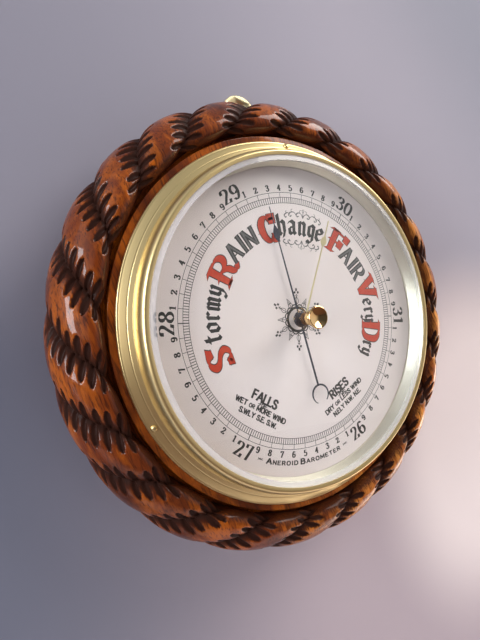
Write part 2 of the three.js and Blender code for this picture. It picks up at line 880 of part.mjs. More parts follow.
function setHand() {
  const rodShape = taperedRod(0, setHandLength, setHandRodWidth, setHandTipWidth);
  const leaf = leafShape(setHandLeafStart, setHandLeafLength, setHandLeafWidth, setHandRodWidth);
  const hub = bar(setHandHubRadius, setHandForward, setHandForward + setHandThickness, roundFacets);
  const bore = bar(stemTipRadius + seatGap, setHandForward - cutOverrun, glassBackForward, roundFacets);
  const blade = join(
    plate(rodShape, setHandForward, setHandThickness),
    plate(leaf, setHandForward, setHandThickness, cornerSteps),
    hub);
  return turnAboutDial(cut(blade, bore), setHandDegrees);
}

function setHandNut() {
  const low = setHandNutForward;
  return turned([
    [stemTipRadius + runningGap, low],
    [setHandNutRadius, low],
    [setHandNutRadius, low + setHandNutLength],
    [stemTipRadius + runningGap, low + setHandNutLength],
  ], holeFacets);
}

// Pointer

const pointerForward = dialFaceForward + pointerLift;
const pointerFrontForward = pointerForward + pointerThickness;

function crescent() {
  const centre = -(pointerTailLength + crescentOuterRadius);
  const whole = bar(crescentOuterRadius, pointerForward, pointerFrontForward, roundFacets, 0, centre);
  const hollow = bar(crescentInnerRadius, pointerForward - cutOverrun, pointerFrontForward + cutOverrun,
    roundFacets, 0, centre - crescentShift);
  return cut(whole, hollow);
}

function pointerHand() {
  const front = taperedRod(0, pointerLength, pointerRodWidth, pointerTipWidth);
  const tail = taperedRod(-pointerTailLength - pointerTailOverlap, 0, pointerRodWidth, pointerRodWidth);
  const leaf = leafShape(pointerLeafStart, pointerLeafLength, pointerLeafWidth, pointerRodWidth);
  const blade = join(
    plate(front, pointerForward, pointerThickness),
    plate(tail, pointerForward, pointerThickness),
    plate(leaf, pointerForward, pointerThickness, cornerSteps),
    crescent(),
    bar(pointerBossRadius * bossCrownShare, pointerForward, pointerFrontForward, roundFacets));
  const bore = bar(arborRadius + seatGap, pointerForward - cutOverrun, pointerFrontForward + cutOverrun,
    holeFacets);
  return turnAboutDial(cut(blade, bore), pointerDegrees);
}

function pointerBoss() {
  const low = pointerFrontForward + seatGap;
  const high = low + pointerBossThickness - pointerThickness;
  return turned([
    [arborRadius + seatGap, low],
    [pointerBossRadius, low],
    [pointerBossRadius, low + pointerThickness],
    [pointerBossRadius * bossCrownShare, high],
    [arborRadius + seatGap, high],
  ], roundFacets);
}

// Movement plate, pillars, arbor and cock

function capsuleFootHole() {
  return bar(capsulePostRadius + seatGap, basePlateBackForward - cutOverrun,
    basePlateFrontForward + cutOverrun, holeFacets, capsuleX, capsuleZ);
}

function basePlate() {
  const disc = bar(basePlateRadius, basePlateBackForward, basePlateFrontForward, roundFacets * 2);
  const adjusterHole = bar(adjusterShankRadius + seatGap, basePlateBackForward - cutOverrun,
    basePlateFrontForward + cutOverrun, holeFacets, adjusterX, adjusterZ);
  return cut(disc, ...baseScrews(seatGap), adjusterHole, capsuleFootHole());
}

function pillarPlaces() {
  const left = arborPlateOffsetX - arborPlateWidth / 2 + pillarInset;
  const right = arborPlateOffsetX + arborPlateWidth / 2 - pillarInset;
  const high = arborPlateOffsetZ + arborPlateHeight / 2 - pillarInset;
  return [[left, arborPlateOffsetZ], [left, high], [right, high]];
}

function pillar([x, z]) {
  return turned([
    [0, standForward],
    [pillarRadius * pillarFootShare, standForward],
    [pillarRadius * pillarFootShare, standForward + pillarRadius / 2],
    [pillarRadius, standForward + pillarRadius],
    [pillarRadius, arborPlateForward - seatGap],
    [0, arborPlateForward - seatGap],
  ], holeFacets, x, z);
}

function pillarScrews() {
  const low = arborPlateForward + arborPlateThickness + seatGap;
  return pillarPlaces().map(([x, z]) => turned([
    [0, low],
    [pillarScrewHeadRadius, low],
    [pillarScrewHeadRadius, low + pillarScrewHeadHeight / 2],
    [pillarScrewHeadRadius / 2, low + pillarScrewHeadHeight],
    [0, low + pillarScrewHeadHeight],
  ], holeFacets, x, z));
}

function arborPlate() {
  const outline = roundedRectangle(
    arborPlateOffsetX, arborPlateOffsetZ, arborPlateWidth, arborPlateHeight, arborPlateCornerRadius);
  const whole = plate(outline, arborPlateForward, arborPlateThickness, cornerSteps);
  const pivotHole = bar(arborPivotRadius + runningGap, arborPlateForward - cutOverrun,
    arborPlateForward + arborPlateThickness + cutOverrun, holeFacets);
  return cut(whole, pivotHole);
}

const arborTop = pointerFrontForward + seatGap + pointerBossThickness;

function arbor() {
  const pivotTop = arborPlateForward + arborPlateThickness;
  return turned([
    [0, arborPlateForward],
    [arborPivotRadius, arborPlateForward],
    [arborPivotRadius, pivotTop + seatGap],
    [arborRadius, pivotTop + seatGap],
    [arborRadius, drumForward],
    [arborDrumRadius, drumForward],
    [arborDrumRadius, drumForward + arborDrumLength],
    [arborRadius, drumForward + arborDrumLength],
    [arborRadius, arborTop],
    [0, arborTop],
  ], holeFacets);
}

function arborCock() {
  const footZ = cockReach;
  const plateTop = arborPlateForward + arborPlateThickness + seatGap;
  const outline = roundedRectangle(0, footZ / 2, cockWidth, footZ + cockWidth, cockCornerRadius);
  const arm = plate(outline, cockForward, cockThickness, cornerSteps);
  const foot = bar(cockFootRadius, plateTop, cockForward + cockThickness / 2, smallFacets, 0, footZ);
  const hole = bar(arborRadius + runningGap, cockForward - cutOverrun,
    cockForward + cockThickness + cutOverrun, holeFacets);
  return cut(join(arm, foot), hole);
}

// The hairspring is a flat ribbon wound in an even spiral from its collar to its stud
function hairspring() {
  const steps = hairspringTurnSteps * hairspringTurns;
  const positions = [];
  for (let step = 0; step <= steps; step += 1) {
    const share = step / steps;
    const angle = 2 * Math.PI * hairspringTurns * share;
    const middle = hairspringInnerRadius + (hairspringOuterRadius - hairspringInnerRadius) * share;
    for (const [side, rise] of [[-1, 0], [1, 0], [1, 1], [-1, 1]]) {
      const radius = middle + side * hairspringThickness / 2;
      const forward = hairspringForward + rise * hairspringWidth;
      positions.push(radius * Math.cos(angle), -forward, radius * Math.sin(angle));
    }
  }
  const triangles = [];
  for (let step = 0; step < steps; step += 1) {
    for (let side = 0; side < ribbonCorners; side += 1) {
      const a = ribbonCorners * step + side;
      const b = ribbonCorners * step + (side + 1) % ribbonCorners;
      triangles.push(a, b, b + ribbonCorners, a, b + ribbonCorners, a + ribbonCorners);
    }
  }
  const end = ribbonCorners * steps;
  triangles.push(0, 2, 1, 0, 3, 2, end, end + 1, end + 2, end, end + 2, end + 3);
  const geometry = new THREE.BufferGeometry();
  geometry.setAttribute('position', new THREE.BufferAttribute(new Float32Array(positions), 3));
  geometry.setIndex(triangles);
  return toSolid(geometry);
}

function hairspringStud() {
  const angle = 2 * Math.PI * hairspringTurns;
  const radius = hairspringOuterRadius + hairspringThickness / 2 + seatGap + hairspringStudRadius;
  const low = arborPlateForward + arborPlateThickness + seatGap;
  return bar(hairspringStudRadius, low, hairspringForward + hairspringWidth, holeFacets,
    radius * Math.cos(angle), radius * Math.sin(angle));
}

function hairspringCollar() {
  const low = hairspringForward;
  return turned([
    [arborRadius + runningGap, low],
    [hairspringCollarRadius, low],
    [hairspringCollarRadius, low + hairspringWidth],
    [arborRadius + runningGap, low + hairspringWidth],
  ], holeFacets);
}

// Vacuum capsule: two corrugated diaphragms, rim to rim, on a foot and under a post

const capsuleLowForward = standForward + capsuleFootHeight + seatGap;
const capsuleMiddleForward = capsuleLowForward + capsuleHeight / 2;

// Forward distance of a diaphragm's outer skin from the rim plane at a given radius
function diaphragmRise(radius) {
  const flat = capsuleRadius - capsuleRimWidth;
  if (radius >= flat) return capsuleWall + seatGap / 2;
  if (radius <= capsuleHubRadius) return capsuleHeight / 2;
  const share = (flat - radius) / (flat - capsuleHubRadius);
  const wave = capsuleWaveHeight / 2 * Math.sin(2 * Math.PI * capsuleWaveCount * share);
  const shoulder = capsuleHeight / 2 * Math.min(1, share * capsuleWaveCount) * capsuleShoulderShare;
  return shoulder + wave + capsuleWall * share;
}

function diaphragm(side) {
  const wavePoints = capsuleWaveSteps * capsuleWaveCount;
  const flat = capsuleRadius - capsuleRimWidth;
  const radii = [capsuleRadius, flat];
  for (let i = 1; i <= wavePoints; i += 1) radii.push(flat + (capsuleHubRadius - flat) * i / wavePoints);
  radii.push(0);
  const outer = radii.map((radius) => [radius, capsuleMiddleForward + side * diaphragmRise(radius)]);
  const inner = radii.map((radius) => (
    [radius, capsuleMiddleForward + side * (diaphragmRise(radius) - capsuleWall)])).reverse();
  return turned([...outer, ...inner], capsuleFacets, capsuleX, capsuleZ);
}

function capsuleFoot() {
  const high = capsuleLowForward - seatGap;
  return turned([
    [0, basePlateBackForward],
    [capsulePostRadius, basePlateBackForward],
    [capsulePostRadius, standForward],
    [capsuleFootRadius, standForward],
    [capsuleFootRadius, high],
    [0, high],
  ], smallFacets, capsuleX, capsuleZ);
}

const capsuleTopForward = capsuleLowForward + capsuleHeight;
const knifePinForward = springTopForward + capsulePostGap + knifePinRadius;
const leverForward = knifePinForward + knifePinRadius + capsulePostGap;
const springLowForward = carriageTableForward + carriageThickness + seatGap;

function capsulePost() {
  const low = capsuleTopForward + capsulePostGap;
  const footRadius = capsulePostRadius * capsulePostFootShare;
  const high = knifePinForward + knifePinRadius;
  const post = turned([
    [0, low],
    [footRadius, low],
    [footRadius, low + capsulePostRadius / 2],
    [capsulePostRadius, low + capsulePostRadius],
    [capsulePostRadius, high],
    [0, high],
  ], smallFacets, capsuleX, capsuleZ);
  const pin = crossBar(knifePinRadius, capsuleX, knifePinForward, capsuleZ - knifePinLength / 2,
    capsuleZ + knifePinLength / 2, holeFacets);
  return join(post, pin);
}

// Carriage: a table on two legs that stands astride the capsule
function carriage() {
  const backX = carriageFrontX - carriageLength;
  const low = capsuleZ - carriageSpan / 2;
  const high = capsuleZ + carriageSpan / 2;
  const tableTop = carriageTableForward + carriageThickness;
  const legX = carriageFrontX - carriageLegLength;
  const table = block(legX, carriageFrontX, carriageTableForward, tableTop, low, high);
  const tail = block(backX, carriageFrontX, carriageTableForward, tableTop,
    capsuleZ - carriageTailWidth / 2, capsuleZ + carriageTailWidth / 2);
  const legs = [low, high - carriageThickness].map((z) => (
    block(legX, carriageFrontX, standForward, tableTop, z, z + carriageThickness)));
  const footTop = standForward + carriageThickness;
  const feet = [
    block(legX, carriageFrontX, standForward, footTop, low - carriageFootWidth, low + carriageThickness),
    block(legX, carriageFrontX, standForward, footTop, high - carriageThickness, high + carriageFootWidth),
  ];
  return join(table, tail, ...legs, ...feet);
}

function cheeseHead(low, x, z) {
  return turned([
    [0, low],
    [carriageScrewHeadRadius, low],
    [carriageScrewHeadRadius, low + carriageScrewHeadHeight / 2],
    [carriageScrewRadius, low + carriageScrewHeadHeight],
    [0, low + carriageScrewHeadHeight],
  ], holeFacets, x, z);
}

function carriageScrewPlaces() {
  const x = carriageFrontX - carriageLegLength / 2;
  const reach = (carriageSpan + carriageFootWidth) / 2;
  return [[x, capsuleZ - reach], [x, capsuleZ + reach]];
}

function carriageScrews() {
  const low = standForward + carriageThickness + seatGap;
  return carriageScrewPlaces().map(([x, z]) => cheeseHead(low, x, z));
}

// Mainspring: a broad leaf bent back over itself like a C
function mainspring() {
  const low = springLowForward;
  const high = springTopForward;
  const outerRadius = (high - low) / 2;
  const bendX = carriageFrontX - carriageLength + outerRadius;
  const middle = (low + high) / 2;
  const innerRadius = outerRadius - springThickness;
  const shape = new THREE.Shape();
  shape.moveTo(carriageFrontX - springThickness, low);
  shape.lineTo(carriageFrontX - springThickness, low + springThickness);
  shape.absarc(bendX, middle, innerRadius, 3 * Math.PI / 2, Math.PI / 2, true);
  shape.lineTo(capsuleX + springTipReach, high - springThickness);
  shape.lineTo(capsuleX + springTipReach, high);
  shape.absarc(bendX, middle, outerRadius, Math.PI / 2, 3 * Math.PI / 2, false);
  const postHole = bar(capsulePostRadius + capsulePostGap, middle, high + cutOverrun,
    smallFacets, capsuleX, capsuleZ);
  return cut(crossStrip(shape, capsuleZ, springWidth, holeFacets), postHole);
}

function springClampScrews() {
  const low = springLowForward + springThickness + seatGap;
  return [-1, 1].map((side) => cheeseHead(low, springClampScrewX, capsuleZ + side * springScrewSpread));
}

const linkX = rockingShaftX + crankLength;

function mainLever() {
  const outline = polygon([
    [leverPivotX - leverTailLength, capsuleZ - leverRootWidth / 2],
    [capsuleX, capsuleZ - leverRootWidth / 2],
    [linkX - leverTipMargin, capsuleZ - leverTipWidth / 2],
    [linkX + leverTipMargin, capsuleZ - leverTipWidth / 2],
    [linkX + leverTipMargin, capsuleZ + leverTipWidth / 2],
    [linkX - leverTipMargin, capsuleZ + leverTipWidth / 2],
    [capsuleX, capsuleZ + leverRootWidth / 2],
    [leverPivotX - leverTailLength, capsuleZ + leverRootWidth / 2],
  ]);
  const blade = plate(outline, leverForward, leverThickness);
  const foot = block(leverPivotX - leverTailLength, leverPivotX, springTopForward + capsulePostGap,
    leverForward + leverThickness / 2, capsuleZ - leverRootWidth / 2, capsuleZ + leverRootWidth / 2);
  const pinForward = leverForward + leverThickness / 2;
  const pinEnd = capsuleZ + leverTipWidth / 2 + seatGap + linkThickness + seatGap;
  const pin = crossBar(linkPinRadius, linkX, pinForward, capsuleZ, pinEnd, holeFacets);
  return join(blade, foot, pin);
}

// Link: a flat bar with an eye at each end, beside the lever and beside the crank
function link() {
  const low = rockingShaftForward;
  const high = leverForward + leverThickness / 2;
  const z = capsuleZ + leverTipWidth / 2 + seatGap + linkThickness / 2;
  const rod = block(linkX - linkBarWidth / 2, linkX + linkBarWidth / 2, low, high,
    z - linkThickness / 2, z + linkThickness / 2);
  const eyes = [low, high].map((forward) => (
    crossBar(linkEyeRadius, linkX, forward, z - linkThickness / 2, z + linkThickness / 2, smallFacets)));
  const holes = [low, high].map((forward) => (
    crossBar(linkEyeHoleRadius, linkX, forward, z - linkThickness, z + linkThickness, holeFacets)));
  return cut(join(rod, ...eyes), ...holes);
}

// Rocking shaft with its crank under the lever and its upright arm by the chain
const chainZ = arborDrumRadius + seatGap + chainThickness / 2;

function rockingShaft() {
  const shaft = crossBar(rockingShaftRadius, rockingShaftX, rockingShaftForward,
    rockingShaftRearZ, rockingShaftFrontZ, smallFacets);
  const pivotReach = bearingBlockThickness + seatGap;
  const pivots = crossBar(rockingShaftPivotRadius, rockingShaftX, rockingShaftForward,
    rockingShaftRearZ - pivotReach, rockingShaftFrontZ + pivotReach, holeFacets);
  const crank = block(rockingShaftX, linkX + linkEyeRadius / 2, rockingShaftForward - crankWidth / 2,
    rockingShaftForward + crankWidth / 2, capsuleZ - crankThickness / 2, capsuleZ + crankThickness / 2);
  const pinEnd = capsuleZ + leverTipWidth / 2 + seatGap + linkThickness + seatGap;
  const crankPin = crossBar(linkPinRadius, linkX, rockingShaftForward, capsuleZ, pinEnd, holeFacets);
  const armTop = rockingShaftForward + rockingArmLength + chainWidth;
  const arm = block(rockingShaftX - rockingArmWidth / 2, rockingShaftX + rockingArmWidth / 2,
    rockingShaftForward, armTop, chainZ - rockingArmThickness / 2, chainZ + rockingArmThickness / 2);
  return join(shaft, pivots, crank, crankPin, arm);
}

function bearingBlock(nearZ, farZ) {
  const half = bearingBlockWidth / 2;
  const body = block(rockingShaftX - half, rockingShaftX + half, standForward,
    rockingShaftForward + bearingBlockRise, nearZ, farZ);
  const hole = crossBar(rockingShaftPivotRadius + runningGap, rockingShaftX, rockingShaftForward,
    nearZ - cutOverrun, farZ + cutOverrun, holeFacets);
  return cut(body, hole);
}

// Chain: a row of flat links on a thin core, from the drum to the arm
function chain() {
  const end = rockingShaftX - rockingArmWidth / 2 - chainHookGap;
  const middle = rockingShaftForward + rockingArmLength;
  const core = block(0, end, middle - chainCoreWidth / 2, middle + chainCoreWidth / 2,
    chainZ - chainCoreThickness / 2, chainZ + chainCoreThickness / 2);
  const count = Math.floor(end / chainLinkPitch);
  const pitch = end / count;
  const half = pitch * chainLinkShare / 2;
  const links = Array.from({ length: count }, (_, index) => {
    const centre = pitch * (index + 1 / 2);
    return block(centre - half, centre + half, middle - chainWidth / 2, middle + chainWidth / 2,
      chainZ - chainThickness / 2, chainZ + chainThickness / 2);
  });
  return join(core, ...links);
}

// Adjusting screw, turned from behind through the hole in the cover
function adjustingScrew() {
  const headBack = coverThickness - adjusterHeadLength - seatGap;
  const headFront = headBack + adjusterHeadLength;
  const tip = carriageTableForward - seatGap;
  const screw = turned([
    [0, headBack],
    [adjusterHeadRadius, headBack],
    [adjusterHeadRadius, headFront],
    [adjusterShankRadius, headFront],
    [adjusterShankRadius, tip - adjusterShankRadius / 2],
    [adjusterShankRadius / 2, tip],
    [0, tip],
  ], smallFacets, adjusterX, adjusterZ);
  const reach = adjusterHeadRadius + cutOverrun;
  const slot = block(adjusterX - reach, adjusterX + reach, headBack - cutOverrun,
    headBack + adjusterSlotDepth, adjusterZ - adjusterSlotWidth / 2, adjusterZ + adjusterSlotWidth / 2);
  return cut(screw, slot);
}

// Assembly

function caseRing() {
  const pocketDepth = hangerThickness + seatGap;
  const pocket = plate(hangerOutline(seatGap), -cutOverrun, cutOverrun + pocketDepth, holeFacets);
  const holes = [...hangerScrews(seatGap), ...coverScrews(seatGap), ...bezelPins(seatGap)];
  return cut(join(carvedRope(), caseCore()), pocket, ...holes);
}

addPiece('rope_case', caseRing(), oak);
addPiece('back_cover', backCover(), oakBack);
addCopies('back_cover_screw', coverScrews(0), paleBrass);
addPiece('hanger_plate', hangerPlate(), paleBrass);
addCopies('hanger_screw', hangerScrews(0), paleBrass);

addPiece('bezel', cut(bezelRing(), ...bezelPins(seatGap)), polishedBrass);
addCopies('bezel_pin', bezelPins(0), polishedBrass);
addPiece('glass', bevelledGlass(), glass);
addPiece('reflector_ring', reflectorRing(), silveredBrass);
addPiece('dial', dialPlate(), dialWhite);
addPiece('dial_ring', dialRing(), movementBrass);

addPiece('setting_knob', settingKnob(), polishedBrass);
addPiece('setting_stem', settingStem(), polishedBrass);
addPiece('outer_washer', washer(washerForward), washerLeather);
addPiece('inner_washer', washer(glassBackForward - seatGap - washerThickness), washerLeather);
addPiece('set_hand', setHand(), paleBrass);
addPiece('set_hand_nut', setHandNut(), paleBrass);

addPiece('pointer', pointerHand(), bluedSteel);
addPiece('pointer_boss', pointerBoss(), bluedSteel);
addPiece('arbor', arbor(), springSteel);

addPiece('base_plate', basePlate(), movementBrass);
addCopies('base_screw', baseScrews(0), springSteel);
addCopies('pillar', pillarPlaces().map(pillar), movementBrass);
addCopies('pillar_screw', pillarScrews(), springSteel);
addPiece('arbor_plate', arborPlate(), movementBrass);
addPiece('arbor_cock', arborCock(), movementBrass);
addPiece('hairspring', hairspring(), springSteel);
addPiece('hairspring_collar', hairspringCollar(), movementBrass);
addPiece('hairspring_stud', hairspringStud(), movementBrass);

addPiece('capsule_lower', diaphragm(-1), nickelSilver);
addPiece('capsule_upper', diaphragm(1), nickelSilver);
addPiece('capsule_foot', capsuleFoot(), movementBrass);
addPiece('capsule_post', capsulePost(), movementBrass);
addPiece('carriage', carriage(), springSteel);
addCopies('carriage_screw', carriageScrews(), springSteel);
addPiece('mainspring', mainspring(), springSteel);
addCopies('spring_screw', springClampScrews(), springSteel);
addPiece('main_lever', mainLever(), movementBrass);
addPiece('link', link(), springSteel);
addPiece('rocking_shaft', rockingShaft(), springSteel);
addPiece('shaft_bearing_front', bearingBlock(rockingShaftFrontZ + seatGap,
  rockingShaftFrontZ + seatGap + bearingBlockThickness), movementBrass);
addPiece('shaft_bearing_rear', bearingBlock(rockingShaftRearZ - seatGap - bearingBlockThickness,
  rockingShaftRearZ - seatGap), movementBrass);
addPiece('chain', chain(), springSteel);
addPiece('adjusting_screw', adjustingScrew(), springSteel);

export default barometer;
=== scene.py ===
"""Round wall aneroid barometer in a carved oak rope case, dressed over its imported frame.

Sizes are in millimetres and are turned into metres when a mesh is made. The dial faces -Y and the
wall is the plane y = 0. "Forward" is the distance from the wall towards the viewer. Angles on the
dial run clockwise from the top as the viewer sees them.
"""

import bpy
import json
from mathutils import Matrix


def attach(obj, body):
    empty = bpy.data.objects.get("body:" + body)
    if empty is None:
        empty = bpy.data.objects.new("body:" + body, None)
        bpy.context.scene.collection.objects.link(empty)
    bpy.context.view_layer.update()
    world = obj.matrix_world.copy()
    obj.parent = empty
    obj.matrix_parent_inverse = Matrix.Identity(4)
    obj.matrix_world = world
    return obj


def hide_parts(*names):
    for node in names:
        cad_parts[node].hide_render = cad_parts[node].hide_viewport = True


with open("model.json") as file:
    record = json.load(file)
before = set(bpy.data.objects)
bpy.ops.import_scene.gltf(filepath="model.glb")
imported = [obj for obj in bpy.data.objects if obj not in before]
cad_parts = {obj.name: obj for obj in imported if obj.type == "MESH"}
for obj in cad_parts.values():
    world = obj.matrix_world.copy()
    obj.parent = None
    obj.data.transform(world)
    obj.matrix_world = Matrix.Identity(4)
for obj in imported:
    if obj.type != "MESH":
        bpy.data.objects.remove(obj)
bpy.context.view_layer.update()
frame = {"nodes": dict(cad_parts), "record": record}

import json
import logging
import math
from dataclasses import dataclass, field
from enum import Enum

import bpy
import numpy as np
from mathutils import Matrix, Vector

MM = 0.001
CORNER_SHARE = 0.45
NIB_OVERLAP = 0.4
LOG = logging.getLogger("barometer")

Socket = bpy.types.NodeSocket
Piece = bpy.types.Object
Colour = tuple[float, float, float, float]
Point = tuple[float, float]


class Body(str, Enum):
    """Moving bodies of the frame."""

    CASE = "case"
    SET_HAND = "set_hand_assembly"
    POINTER = "pointer_assembly"


class Slot(str, Enum):
    """Material slots of the record."""

    OAK = "oak"
    OAK_BACK = "oak_back"
    POLISHED_BRASS = "polished_brass"
    PALE_BRASS = "pale_brass"
    SILVERED_BRASS = "silvered_brass"
    MOVEMENT_BRASS = "movement_brass"
    DIAL_WHITE = "dial_white"
    BLUED_STEEL = "blued_steel"
    STEEL = "steel"
    NICKEL_SILVER = "nickel_silver"
    LEATHER = "leather"
    GLASS = "glass"


def linear(red: int, green: int, blue: int) -> Colour:
    """Turns a display colour of 0 to 255 into the linear colour, with an alpha of 1, that a shader takes."""
    shown = np.array([red, green, blue]) / 255
    low = shown / 12.92
    high = ((shown + 0.055) / 1.055) ** 2.4
    return (*np.where(shown <= 0.04045, low, high).tolist(), 1.0)


class NodeSheet:
    """Builds the shader nodes of one material or of the world."""

    def __init__(self, owner: bpy.types.Material | bpy.types.World) -> None:
        """Clears the owner's nodes and adds its output."""
        owner.use_nodes = True
        self.tree = owner.node_tree
        self.tree.nodes.clear()
        self.output = self.node("OutputWorld" if isinstance(owner, bpy.types.World) else "OutputMaterial")

    def node(self, kind: str, inputs: dict | None = None, **settings) -> bpy.types.Node:
        """Adds a node.

        Args:
            kind: Node type without its ShaderNode prefix.
            inputs: Socket name or number to a value, or to an output socket that feeds it.
            settings: Properties of the node itself.

        Returns:
            The new node.
        """
        made = self.tree.nodes.new("ShaderNode" + kind)
        for key, value in settings.items():
            setattr(made, key, value)
        for key, value in (inputs or {}).items():
            if isinstance(value, Socket):
                self.tree.links.new(value, made.inputs[key])
            else:
                made.inputs[key].default_value = value
        return made

    def where(self) -> Socket:
        """Object coordinates in metres."""
        return self.node("TexCoord").outputs["Object"]

    def mapped(self, where: Socket, scale: tuple, turn: float = 0.0, shift: tuple = (0, 0, 0)) -> Socket:
        """A place that is scaled on each axis, turned about the dial's axis in radians, and shifted."""
        inputs = {"Vector": where, "Scale": scale, "Rotation": (0, turn, 0), "Location": shift}
        return self.node("Mapping", inputs).outputs[0]

    def apart(self, where: Socket) -> list[Socket]:
        """The three values of a vector."""
        return list(self.node("SeparateXYZ", {0: where}).outputs)

    def length(self, where: Socket) -> Socket:
        """The length of a vector."""
        return self.node("VectorMath", {0: where}, operation="LENGTH").outputs["Value"]

    def noise(self, where: Socket, scale: float, detail: float, rough: float, twist: float = 0) -> Socket:
        """A noise value between 0 and 1 at a place.

        Args:
            where: Vector socket to read.
            scale: Cells per unit of that vector.
            detail: Octaves.
            rough: Share that each octave keeps.
            twist: Distortion.

        Returns:
            The value socket.
        """
        inputs = {"Vector": where, "Scale": scale, "Detail": detail, "Roughness": rough, "Distortion": twist}
        return self.node("TexNoise", inputs).outputs["Fac"]

    def span(self, value: Socket, low: float, high: float, start: float = 0.0, end: float = 1.0) -> Socket:
        """Maps a value from low..high to start..end, held at both ends."""
        return self.node("MapRange", {0: value, 1: low, 2: high, 3: start, 4: end}).outputs[0]

    def ease(self, value: Socket, low: float, high: float, end: float = 1.0) -> Socket:
        """Maps a value from low..high smoothly to 0..end."""
        inputs = {0: value, 1: low, 2: high, 4: end}
        return self.node("MapRange", inputs, interpolation_type="SMOOTHSTEP").outputs[0]

    def blend(self, share: Socket, first: object, second: object) -> Socket:
        """Mixes two colours or colour sockets; the share is the weight of the second."""
        return self.node("Mix", {0: share, 6: first, 7: second}, data_type="RGBA").outputs[2]

    def sums(self, operation: str, first: object, *others: object) -> Socket:
        """Arithmetic on a row of values, from the left."""
        for other in others or (0.0,):
            first = self.node("Math", {0: first, 1: other}, operation=operation).outputs[0]
        return first

    def bump(self, height: Socket, depth: float, strength: float) -> Socket:
        """A normal from a height of 0 to 1 that stands for a depth in millimetres."""
        return self.node("Bump", {"Height": height, "Distance": depth * MM, "Strength": strength}).outputs[0]

    def mixed(self, share: Socket, first: Socket, second: Socket) -> Socket:
        """Mixes two shaders; the share is the weight of the second."""
        return self.node("MixShader", {0: share, 1: first, 2: second}).outputs[0]

    def show(self, shader: Socket) -> None:
        """Wires a shader to the output."""
        self.tree.links.new(shader, self.output.inputs["Surface"])

    def surface(self, **inputs) -> Socket:
        """Adds the Principled shader, wires it to the output and returns its socket.

        An input's spaces are written as underscores.
        """
        named = {key.replace("_", " "): value for key, value in inputs.items()}
        shader = self.node("BsdfPrincipled", named).outputs[0]
        self.show(shader)
        return shader


@dataclass(frozen=True)
class Finish:
    """A surface finish and the record's slot that it belongs to.

    In every finish a noise field holds scale, detail, roughness and twist; a grain field holds the
    scale on each axis; a span field holds low, high, start and end; a bump field holds a depth in
    millimetres and a strength.
    """

    name: str
    slot: Slot

    def material(self) -> bpy.types.Material:
        """The finish's material, made once and then reused."""
        made = bpy.data.materials.get(self.name)
        if made is None:
            made = bpy.data.materials.new(self.name)
            self.paint(NodeSheet(made))
        return made

    def paint(self, s: NodeSheet) -> None:
        """Adds the finish's nodes to its sheet."""
        raise NotImplementedError


@dataclass(frozen=True)
class PackedFinish(Finish):
    """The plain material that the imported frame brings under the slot's name."""

    def material(self) -> bpy.types.Material:
        """The frame's material, as it is."""
        return bpy.data.materials[self.name]


